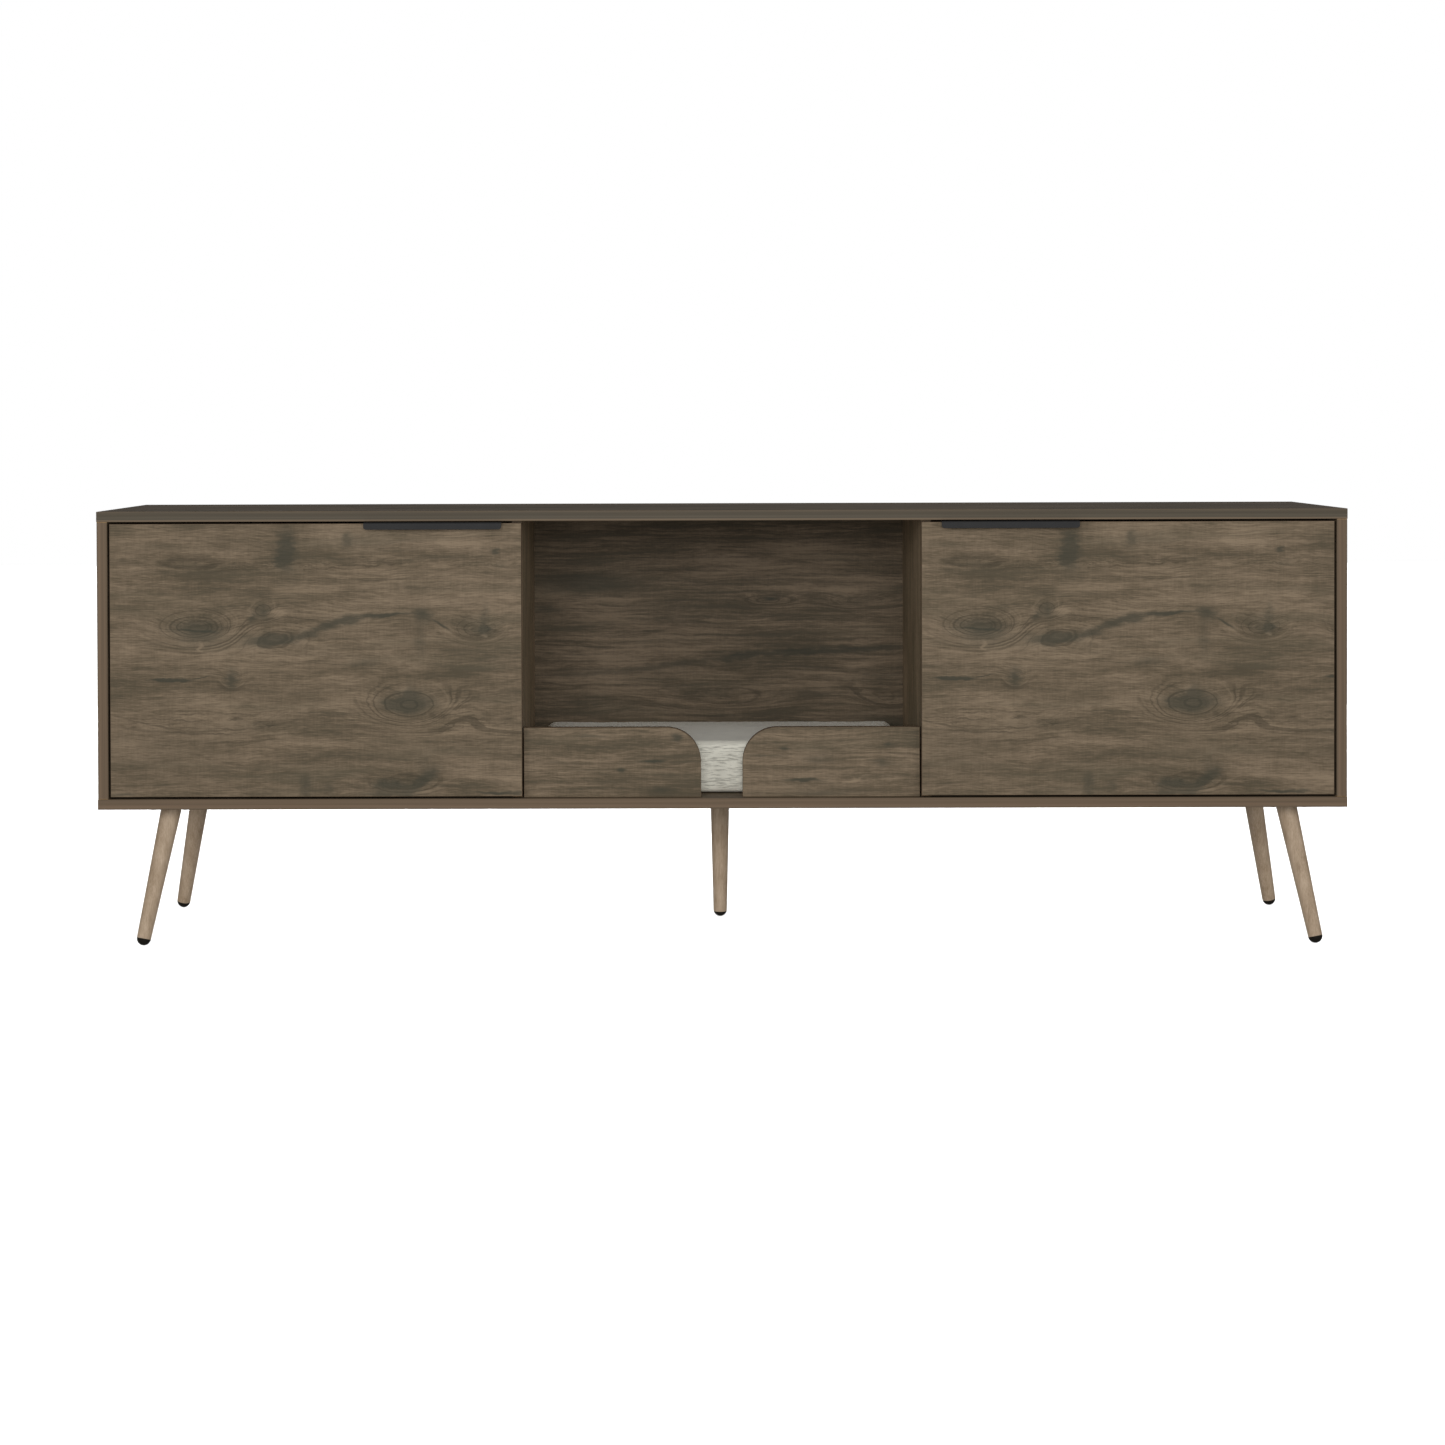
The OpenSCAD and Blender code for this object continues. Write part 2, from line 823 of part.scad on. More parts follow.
module hinge_arms(side) {
    color(nickel)
        in_cell(side)
            difference() {
                for (z = hinge_zs) {
                    difference() {
                        translate([0, 0, z - arm_half_w])
                            linear_extrude(2 * arm_half_w) arm_outline();
                        translate([arm_pin[0], arm_pin[1], z - arm_half_w + cheek_t])
                            cylinder(r = fork_r, h = 2 * (arm_half_w - cheek_t));
                    }
                }
                pin_rods(arm_pin, arm_pin_d + 2 * hole_clearance, 2 * arm_half_w + 2 * slop);
                at_arm_screws() rod_x(arm_screw[0] + 2 * hole_clearance, arm_top_u + slop);
            }
}

module at_arm_screws() {
    for (z = hinge_zs) {
        translate([0, arm_screw_v, z]) children();
    }
}

module at_plate_screws() {
    for (z = hinge_zs, dz = [-plate_screw_z, plate_screw_z]) {
        translate([0, plate_wing_v, z + dz]) children();
    }
}

module hinge_plates(side) {
    color(nickel)
        in_cell(side)
            difference() {
                for (z = hinge_zs) {
                    translate([0, arm_start_v - plate_lead, z - plate_stem_w / 2])
                        cube([plate_t, plate_lead + arm_length + plate_tail, plate_stem_w]);
                    translate([0, plate_wing_v - plate_wing_w / 2, z - plate_wing_span / 2])
                        cube([plate_t, plate_wing_w, plate_wing_span]);
                }
                at_plate_screws()
                    translate([-slop, 0, 0])
                        rod_x(small_screw[0] + 2 * hole_clearance, plate_t + 2 * slop);
                at_arm_screws()
                    translate([-slop, 0, 0])
                        rod_x(arm_screw[0] + 2 * hole_clearance, plate_t + 2 * slop);
            }
}

module hinge_screws(side) {
    color(zinc)
        in_cell(side) {
            at_plate_screws()
                translate([plate_t, 0, 0]) rotate([0, -90, 0]) pan_screw(small_screw);
            at_arm_screws()
                translate([arm_top_u, 0, 0]) rotate([0, -90, 0]) pan_screw(arm_screw);
        }
}

// The plate screws' holes in the side panel
module hinge_screw_holes() {
    at_plate_screws()
        translate([plate_t - small_screw[1] - end_gap, 0, 0])
            rod_x(small_screw[0] + 2 * hole_clearance, small_screw[1] + slop);
}

// ---------------------------------------------------------------- bed rails and cushion

module bed_rail(side) {
    color(wood)
        difference() {
            on_side(side)
                translate([rail_opening / 2, front_y + rail_v + board_t, base_z])
                    rotate([90, 0, 0])
                        linear_extrude(board_t) {
                            translate([rail_corner_r, 0]) square([rail_w - rail_corner_r, rail_h]);
                            square([rail_corner_r + overlap, rail_h - rail_corner_r]);
                            intersection() {
                                translate([rail_corner_r, rail_h - rail_corner_r])
                                    circle(r = rail_corner_r, $fn = fine);
                                square([rail_corner_r + overlap, rail_h]);
                            }
                        }
            rail_screw_holes();
        }
}

module at_rail_screws() {
    for (side = [LEFT, RIGHT], x = rail_screw_xs) {
        translate([side * x, front_y + rail_v + board_t / 2, leg_height]) children();
    }
}

module rail_screw_holes() {
    at_rail_screws() flat_screw_hole(panel_screw);
}

module bed_rail_screws() {
    color(zinc) at_rail_screws() flat_screw(panel_screw);
}

module cushion() {
    color(soft_white)
        translate([0, (cushion_front_y + cushion_rear_y) / 2, base_z + cushion_lift])
            linear_extrude(cushion_t - cushion_lift)
                rounded_outline(cushion_w, cushion_rear_y - cushion_front_y, cushion_corner_r);
}

// ---------------------------------------------------------------- legs

// Where a leg's top meets the base panel
function leg_top_place(x_side, y_side) = [
    x_side * (width / 2 - leg_inset_x) + leg_set_shift,
    y_side * (depth / 2 - leg_inset_y),
];

// Children drawn along +Z from the leg's foot, where the cap's round end is centred
module along_leg(x_side, y_side) {
    top = leg_top_place(x_side, y_side);
    out = leg_splay * (leg_height - foot_r) / leg_height;
    translate([top[0] + x_side * out, top[1] + y_side * out, foot_r])
        rotate([0, leg_tilt(), atan2(-y_side, -x_side)])
            children();
}

function leg_tilt() = atan2(leg_splay * sqrt(2), leg_height);

module along_centre_leg() {
    translate([0, centre_leg_y, foot_r]) children();
}

// The radius of the rounded foot at a distance below its centre
function foot_r_at(drop) = sqrt(pow(foot_r, 2) - pow(drop, 2));

// A leg longer than it needs to be, whose wood runs down into the rounded foot by drop
module leg_body(tilt, drop) {
    length = (leg_height - foot_r) / cos(tilt);
    extra = leg_top_d;
    grow = (leg_top_d - leg_foot_d) / length;
    difference() {
        union() {
            cylinder(d1 = leg_foot_d, d2 = leg_top_d + grow * extra, h = length + extra, $fn = fine);
            translate([0, 0, -drop])
                cylinder(r1 = foot_r_at(drop), r2 = foot_r, h = drop, $fn = fine);
        }
        translate([0, 0, -foot_r])
            cylinder(d = cap_peg_d + 2 * hole_clearance, h = cap_peg_h + foot_r + end_gap);
        leg_bolt(tilt, hole_clearance);
    }
}

// The bolt in the top of a leg, in the leg's own frame
module leg_bolt(tilt, clear) {
    length = (leg_height - foot_r) / cos(tilt);
    gap = clear > 0 ? end_gap : 0;
    translate([0, 0, length - leg_bolt_in - gap])
        cylinder(d = leg_bolt_d + 2 * clear, h = leg_bolt_in + leg_bolt_out + gap);
}

// Everything of a leg below its mounting plate
module under_plate() {
    intersection() {
        children();
        translate([-width, -width, -slop]) cube([2 * width, 2 * width, leg_top_z + slop]);
    }
}

module corner_leg(x_side, y_side) {
    color(oak) under_plate() along_leg(x_side, y_side) leg_body(leg_tilt(), corner_foot_wood);
}

module centre_leg() {
    color(oak) under_plate() along_centre_leg() leg_body(0, centre_foot_wood);
}

// A cap that starts below the wood, on a peg
module cap_body(drop) {
    difference() {
        sphere(d = leg_foot_d, $fn = fine);
        translate([-leg_foot_d, -leg_foot_d, -drop]) cube(2 * leg_foot_d);
    }
    translate([0, 0, -drop - slop]) cylinder(d = cap_peg_d, h = cap_peg_h + drop + slop);
}

module corner_foot_cap(x_side, y_side) {
    color(black_plastic) along_leg(x_side, y_side) cap_body(corner_foot_wood);
}

module centre_foot_cap() {
    color(black_plastic) along_centre_leg() cap_body(centre_foot_wood);
}

// Children at the five places where the legs meet the base panel
module at_legs() {
    for (x_side = [LEFT, RIGHT], y_side = [FRONT, REAR]) {
        top = leg_top_place(x_side, y_side);
        translate([top[0], top[1], leg_height]) children();
    }
    translate([0, centre_leg_y, leg_height]) children();
}

module at_leg_screws() {
    for (x = [-1, 1], y = [-1, 1]) {
        translate([x * leg_screw_pitch / 2, y * leg_screw_pitch / 2, 0]) children();
    }
}

// The pocket over a leg's bolt and the four screw holes, in the base panel's underside
module leg_fixings_holes() {
    translate([0, 0, -slop]) cylinder(d = leg_pocket_d, h = leg_pocket_depth + slop);
    screw_depth = leg_screw[1] - leg_plate_t + end_gap;
    at_leg_screws()
        translate([0, 0, -slop])
            cylinder(d = leg_screw[0] + 2 * hole_clearance, h = screw_depth + slop);
}

module all_leg_bolts(clear) {
    for (x_side = [LEFT, RIGHT], y_side = [FRONT, REAR]) {
        along_leg(x_side, y_side) leg_bolt(leg_tilt(), clear);
    }
    along_centre_leg() leg_bolt(0, clear);
}

module leg_plates() {
    color(zinc)
        difference() {
            at_legs()
                difference() {
                    translate([0, 0, -leg_plate_t])
                        linear_extrude(leg_plate_t)
                            rounded_outline(leg_plate_side, leg_plate_side, leg_plate_corner);
                    at_leg_screws()
                        translate([0, 0, -leg_plate_t - slop])
                            cylinder(d = leg_screw[0] + 2 * hole_clearance, h = leg_plate_t + 2 * slop);
                }
            all_leg_bolts(hole_clearance);
        }
}

module leg_bolts() {
    color(zinc) all_leg_bolts(0);
}

module leg_plate_screws() {
    color(zinc)
        at_legs()
            at_leg_screws() translate([0, 0, -leg_plate_t]) pan_screw(leg_screw);
}

// ---------------------------------------------------------------- assembly

top_panel();
base_panel();
side_panel(LEFT);  // left_side_panel
side_panel(RIGHT);  // right_side_panel
divider(LEFT);  // left_divider
divider(RIGHT);  // right_divider
cell_back_panel(LEFT);  // left_back_panel
centre_back_panel();
cell_back_panel(RIGHT);  // right_back_panel
shelf(LEFT);  // left_shelf
shelf(RIGHT);  // right_shelf
shelf_pins(LEFT);  // left_shelf_pins
shelf_pins(RIGHT);  // right_shelf_pins
door(LEFT);  // left_door
door(RIGHT);  // right_door
pull(LEFT);  // left_pull
pull(RIGHT);  // right_pull
pull_screws(LEFT);  // left_pull_screws
pull_screws(RIGHT);  // right_pull_screws
bumpers(LEFT);  // left_bumpers
bumpers(RIGHT);  // right_bumpers
hinge_cups(LEFT);  // left_hinge_cups
hinge_cups(RIGHT);  // right_hinge_cups
cup_pins(LEFT);  // left_cup_pins
cup_pins(RIGHT);  // right_cup_pins
cup_screws(LEFT);  // left_cup_screws
cup_screws(RIGHT);  // right_cup_screws
hinge_links(LEFT);  // left_hinge_links
hinge_links(RIGHT);  // right_hinge_links
hinge_arms(LEFT);  // left_hinge_arms
hinge_arms(RIGHT);  // right_hinge_arms
arm_pins(LEFT);  // left_arm_pins
arm_pins(RIGHT);  // right_arm_pins
hinge_plates(LEFT);  // left_hinge_plates
hinge_plates(RIGHT);  // right_hinge_plates
hinge_screws(LEFT);  // left_hinge_screws
hinge_screws(RIGHT);  // right_hinge_screws
bed_rail(LEFT);  // left_bed_rail
bed_rail(RIGHT);  // right_bed_rail
bed_rail_screws();
cushion();
corner_leg(LEFT, FRONT);  // front_left_leg
corner_leg(RIGHT, FRONT);  // front_right_leg
corner_leg(LEFT, REAR);  // rear_left_leg
corner_leg(RIGHT, REAR);  // rear_right_leg
centre_leg();
corner_foot_cap(LEFT, FRONT);  // front_left_foot_cap
corner_foot_cap(RIGHT, FRONT);  // front_right_foot_cap
corner_foot_cap(LEFT, REAR);  // rear_left_foot_cap
corner_foot_cap(RIGHT, REAR);  // rear_right_foot_cap
centre_foot_cap();
leg_plates();
leg_bolts();
leg_plate_screws();
dowels();
cam_bolts();
cam_locks();
carcass_screws();
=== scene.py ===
"""Looks of a TV stand with two doors and a pet bed: boards, fittings, cushion, studio."""

import logging
import math
from dataclasses import dataclass, replace
from enum import Enum
from typing import Callable, Iterable, Optional, Union

import bpy
from mathutils import Matrix, Vector


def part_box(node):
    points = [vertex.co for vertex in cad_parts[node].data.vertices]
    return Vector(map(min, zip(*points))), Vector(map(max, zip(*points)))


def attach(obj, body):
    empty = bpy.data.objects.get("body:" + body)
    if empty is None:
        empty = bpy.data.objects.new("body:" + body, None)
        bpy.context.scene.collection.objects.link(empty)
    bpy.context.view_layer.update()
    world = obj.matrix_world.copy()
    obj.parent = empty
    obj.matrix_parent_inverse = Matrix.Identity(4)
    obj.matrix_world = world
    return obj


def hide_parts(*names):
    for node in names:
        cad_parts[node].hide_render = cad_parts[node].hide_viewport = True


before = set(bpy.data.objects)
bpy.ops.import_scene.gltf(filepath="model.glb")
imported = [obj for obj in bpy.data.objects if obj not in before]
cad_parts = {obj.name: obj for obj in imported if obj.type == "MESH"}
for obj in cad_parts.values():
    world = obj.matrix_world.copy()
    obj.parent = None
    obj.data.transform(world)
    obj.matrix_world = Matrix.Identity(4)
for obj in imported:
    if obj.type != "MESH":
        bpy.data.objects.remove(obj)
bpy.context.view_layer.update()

LOG = logging.getLogger("tv_stand")
MM = 0.001
# Points closer than this count as touching, in metres
TOUCH = 2e-5

Number = Union[float, "Signal"]
Colour = tuple[float, float, float]
Stops = tuple[tuple[float, Colour], ...]
Span = tuple[Vector, Vector]


def srgb(red: float, green: float, blue: float, gain: float = 1.0) -> Colour:
    """Turns a display colour into the linear colour that shaders use.

    Args:
        red: Red from 0 to 255.
        green: Green from 0 to 255.
        blue: Blue from 0 to 255.
        gain: What the linear colour is multiplied by.

    Returns:
        The linear colour.
    """
    parts = (value / 255 for value in (red, green, blue))
    return tuple(
        gain * (v / 12.92 if v <= 0.04045 else ((v + 0.055) / 1.055) ** 2.4) for v in parts
    )


# ------------------------------------------------------------------ shader building


class Signal:
    """A number that varies over a surface. Python's operators add its Math nodes."""

    def __init__(self, shader: "Shader", socket: bpy.types.NodeSocket) -> None:
        """Wraps a socket of a shader."""
        self.shader = shader
        self.socket = socket

    def __add__(self, other: Number) -> "Signal":
        """The sum."""
        return self.shader.math("ADD", self, other)

    def __sub__(self, other: Number) -> "Signal":
        """This less the other."""
        return self.shader.math("SUBTRACT", self, other)

    def __rsub__(self, other: Number) -> "Signal":
        """The other less this."""
        return self.shader.math("SUBTRACT", other, self)

    def __mul__(self, other: Number) -> "Signal":
        """The product."""
        return self.shader.math("MULTIPLY", self, other)

    __radd__ = __add__
    __rmul__ = __mul__


@dataclass(frozen=True)
class Oval:
    """A soft oval on a board's figure, in millimetres from the board's corner."""

    along: float
    across: float
    half_along: float
    half_across: float
    strength: float = 1.0
    rise: float = 0.0

    def grown(self, longer: float, taller: float) -> "Oval":
        """The same oval with its half sizes multiplied."""
        sizes = {"half_along": self.half_along * longer, "half_across": self.half_across * taller}
        return replace(self, **sizes)


@dataclass(frozen=True)
class Layer:
    """A layer of noise: its grain in millimetres along, across and into the board.

    detail is how many finer layers it has, rough how strong they are, and weight what the
    noise is multiplied by.
    """

    size: tuple[float, float, float]
    detail: float = 3.0
    rough: float = 0.55
    seed: float = 0.0
    weight: float = 1.0


class Run(Enum):
    """Which way the grain runs. Rows: along the grain, across it, and into the board."""

    FRONT = ((1, 0, 0), (0, 0, 1), (0, -1, 0))
    FLAT = ((1, 0, 0), (0, 1, 0), (0, 0, 1))
    UPRIGHT_SIDE = ((0, 0, 1), (0, 1, 0), (-1, 0, 0))
    UPRIGHT_FRONT = ((0, 0, 1), (1, 0, 0), (0, 1, 0))
    ENDWAYS = ((0, 1, 0), (0, 0, 1), (1, 0, 0))


class Shader:
    """One material's node tree, and short ways to add to it."""

    def __init__(self, name: str) -> None:
        """Starts an empty material.

        Args:
            name: The material's name.
        """
        self.material = bpy.data.materials.new(name)
        self.material.use_nodes = True
        self.tree = self.material.node_tree
        self.tree.nodes.clear()

    def feed(self, socket: bpy.types.NodeSocket, value: object) -> None:
        """Sets a socket to a value, or links it.

        Args:
            socket: The input socket.
            value: A Signal, another socket, a number, or a tuple of numbers.
        """
        if isinstance(value, Signal):
            self.tree.links.new(value.socket, socket)
        elif isinstance(value, bpy.types.NodeSocket):
            self.tree.links.new(value, socket)
        elif socket.type == "RGBA":
            socket.default_value = (*value, 1.0)
        else:
            socket.default_value = value

    def node(
        self,
        kind: str,
        settings: Optional[dict[str, object]] = None,
        inputs: Optional[dict[Union[str, int], object]] = None,
    ) -> bpy.types.Node:
        """Adds any node.

        Args:
            kind: The node's type name.
            settings: Its properties; "stops" gives a ramp's (position, colour) pairs.
            inputs: Values or links by socket name or number.

        Returns:
            The node.
        """
        made = self.tree.nodes.new(kind)
        for key, value in (settings or {}).items():
            if key == "stops":
                ramp = made.color_ramp
                while len(ramp.elements) < len(value):
                    ramp.elements.new(0.5)
                for element, (position, colour) in zip(ramp.elements, value):
                    element.position = position
                    element.color = (*colour, 1.0)
            else:
                setattr(made, key, value)
        for key, value in (inputs or {}).items():
            self.feed(made.inputs[key], value)
        return made

    def math(self, operation: str, *values: Number, clamp: bool = False) -> Signal:
        """Adds a Math node.

        Args:
            operation: The node's operation.
            values: Its inputs in order.
            clamp: Whether the result is kept from 0 to 1.

        Returns:
            The result.
        """
        inputs = dict(enumerate(values))
        made = self.node("ShaderNodeMath", {"operation": operation, "use_clamp": clamp}, inputs)
        return Signal(self, made.outputs[0])

    def ease(self, value: Signal, low: float, high: float) -> Signal:
        """Turns a number smoothly from 0 at low to 1 at high, which may be the lesser one."""
        made = self.node(
            "ShaderNodeMapRange",
            {"interpolation_type": "SMOOTHSTEP"},
            {"Value": value, "From Min": low, "From Max": high},
        )
        return Signal(self, made.outputs["Result"])

    def axes(self, point: bpy.types.NodeSocket) -> list[Signal]:
        """A point's three coordinates."""
        made = self.node("ShaderNodeSeparateXYZ", None, {0: point})
        return [Signal(self, socket) for socket in made.outputs]

    def place(self, run: Run, origin: Iterable[float]) -> bpy.types.NodeSocket:
        """Millimetres along the grain, across it and into the board.

        Args:
            run: Which way the grain runs.
            origin: The point in the object's frame where the figure starts, in metres.

        Returns:
            The point as a vector socket.
        """
        turn = Matrix(run.value)
        made = self.node(
            "ShaderNodeMapping",
            None,
            {
                "Vector": self.node("ShaderNodeTexCoord").outputs["Object"],
                "Location": tuple(-(turn @ Vector(origin)) / MM),
                "Rotation": tuple(turn.to_euler("XYZ")),
                "Scale": (1 / MM,) * 3,
            },
        )
        return made.outputs[0]

    def noise(
        self,
        point: bpy.types.NodeSocket,
        size: Iterable[float],
        detail: float = 3.0,
        rough: float = 0.55,
        seed: float = 0.0,
    ) -> Signal:
        """Noise of a given grain size, centred on 0.

        Args:
            point: Where it is read, in millimetres.
            size: How long its grains are on each axis, in millimetres.
            detail: How many finer layers it has.
            rough: How strong the finer layers are.
            seed: Moves it to another part of the pattern.

        Returns:
            The noise, about -0.3 to 0.3.
        """
        scaled = self.node(
            "ShaderNodeMapping",
            None,
            {"Vector": point, "Location": (seed, seed * 1.7, seed * 2.3),
             "Scale": tuple(1 / s for s in size)},
        )
        made = self.node(
            "ShaderNodeTexNoise",
            None,
            {"Vector": scaled.outputs[0], "Scale": 1.0, "Detail": detail, "Roughness": rough},
        )
        return Signal(self, made.outputs["Fac"]) - 0.5

    def shift(self, point: bpy.types.NodeSocket, *amounts: Number) -> bpy.types.NodeSocket:
        """Moves a point by an amount on each of its first axes.

        Args:
            point: The point, in millimetres.
            amounts: How far it moves along the grain, across it and into the board.

        Returns:
            The moved point.
        """
        step = self.node("ShaderNodeCombineXYZ", None, dict(enumerate(amounts)))
        made = self.node("ShaderNodeVectorMath", {"operation": "ADD"}, {0: point, 1: step.outputs[0]})
        return made.outputs[0]

    def ovals(self, point: bpy.types.NodeSocket, patches: Iterable[Oval]) -> Number:
        """The sum of soft ovals, each its strength at its middle and fading to 0.

        Args:
            point: Where they are read, in millimetres.
            patches: The ovals.

        Returns:
            The sum.
        """
        total: Number = 0.0
        for patch in patches:
            local = self.node(
                "ShaderNodeMapping",
                {"vector_type": "TEXTURE"},
                {
                    "Vector": point,
                    "Location": (patch.along, patch.across, 0.0),
                    "Rotation": (0.0, 0.0, math.radians(patch.rise)),
                    "Scale": (patch.half_along, patch.half_across, 1e6),
                },
            ).outputs[0]
            far = self.node("ShaderNodeVectorMath", {"operation": "DOT_PRODUCT"}, {0: local, 1: local})
            fade = self.math("EXPONENT", Signal(self, far.outputs["Value"]) * -1.0)
            total = self.math("MULTIPLY_ADD", fade, patch.strength, total)
        return total

    def mix(
        self, first: object, second: object, factor: Number, blend: str = "MIX"
    ) -> bpy.types.NodeSocket:
        """Mixes two colours.

        Args:
            first: The colour at factor 0.
            second: The colour at factor 1.
            factor: How much of the second there is.
            blend: How the two are blended.

        Returns:
            The colour socket.
        """
        made = self.node(
            "ShaderNodeMix",
            {"data_type": "RGBA", "blend_type": blend, "clamp_factor": True},
            {0: factor, 6: first, 7: second},
        )
        return made.outputs[2]

    def ramp(self, value: Signal, *stops: tuple[float, Colour]) -> bpy.types.NodeSocket:
        """A colour ramp read at a number."""
        return self.node("ShaderNodeValToRGB", {"stops": stops}, {0: value}).outputs[0]

    def bump(self, height: Signal, depth: float) -> bpy.types.NodeSocket:
        """A normal from a height, depth metres for each 1 of it."""
        made = self.node("ShaderNodeBump", None, {"Height": height, "Distance": depth, "Strength": 1.0})
        return made.outputs[0]

    def finish(self, inputs: dict[str, object]) -> bpy.types.Material:
        """Closes the tree with a Principled shader.

        Args:
            inputs: The shader's sockets by name, values or links.

        Returns:
            The material.
        """
        shade = self.node("ShaderNodeBsdfPrincipled", None, inputs)
        self.node("ShaderNodeOutputMaterial", None, {"Surface": shade.outputs[0]})
        return self.material


# ------------------------------------------------------------------ finishes


@dataclass(frozen=True)
class Tones:
    """The colours of a wood figure, dark to light, and of its knots."""

    dark: Colour
    low: Colour
    high: Colour
    light: Colour
    olive: Colour
    line: Colour
    knot: Colour
    glow: Colour


OAK_TONES = Tones(
    dark=srgb(80, 71, 55),
    low=srgb(98, 85, 67),
    high=srgb(114, 99, 80),
    light=srgb(135, 118, 97),
    olive=srgb(88, 81, 64),
    line=srgb(62, 54, 40),
    knot=srgb(58, 57, 46),
    glow=srgb(142, 124, 102),
)


@dataclass(frozen=True)
class Figure:
    """What is printed on a board: where growth lines swell or ripple, knots, and light patches.

    streaky is how strong its long streaks are, and streak_width how wide in millimetres.
    """

    swirls: tuple[Oval, ...] = ()
    ripples: tuple[Oval, ...] = ()
    blots: tuple[Oval, ...] = ()
    glows: tuple[Oval, ...] = ()
    streaky: float = 1.0
    streak_width: float = 4.2


# The noise that bends and tears the print's lines. A weight or reach here is in millimetres
WANDER = Layer((150, 34, 90), 2.0)
WANDER_REACH = 15.0
SWELL_REACH = 12.0
TORN_ALONG = Layer((14, 5, 20), 2.0, seed=5, weight=20.0)
TORN_ACROSS = Layer((22, 9, 20), seed=9, weight=15.0)
CRACK_WANDER = Layer((24, 12, 30), 2.0, seed=21, weight=9.0)
# What is drawn along those lines, dark to light
BROAD = Layer((300, 60, 200), 2.0, seed=2, weight=0.9)
PATCH = Layer((95, 17, 90), rough=0.6, seed=12, weight=0.8)
STREAK = Layer((150, 1.0, 60), rough=0.6, seed=3)
STREAK_WEIGHT = 0.5
FINE = Layer((30, 1.9, 30), rough=0.62, seed=4)
FINE_WEIGHT = 0.75
HAIR = Layer((11, 0.9, 20), 2.0, 0.6, seed=14, weight=0.65)
FLECK = Layer((2.6, 24, 30), 2.0, seed=6, weight=0.2)
# Where it turns olive, and the growth lines round knots and in rippled stretches
HUE = Layer((240, 26, 90), 2.0, seed=7)
RINGS = Layer((330, 3.1, 90), 1.0, 0.4, seed=8)
WAVE = Layer((46, 2.4, 30), 2.0, 0.5, seed=17)
# A blot whose half height is no more than this is drawn as a crack, in millimetres
CRACK_HEIGHT = 3.5


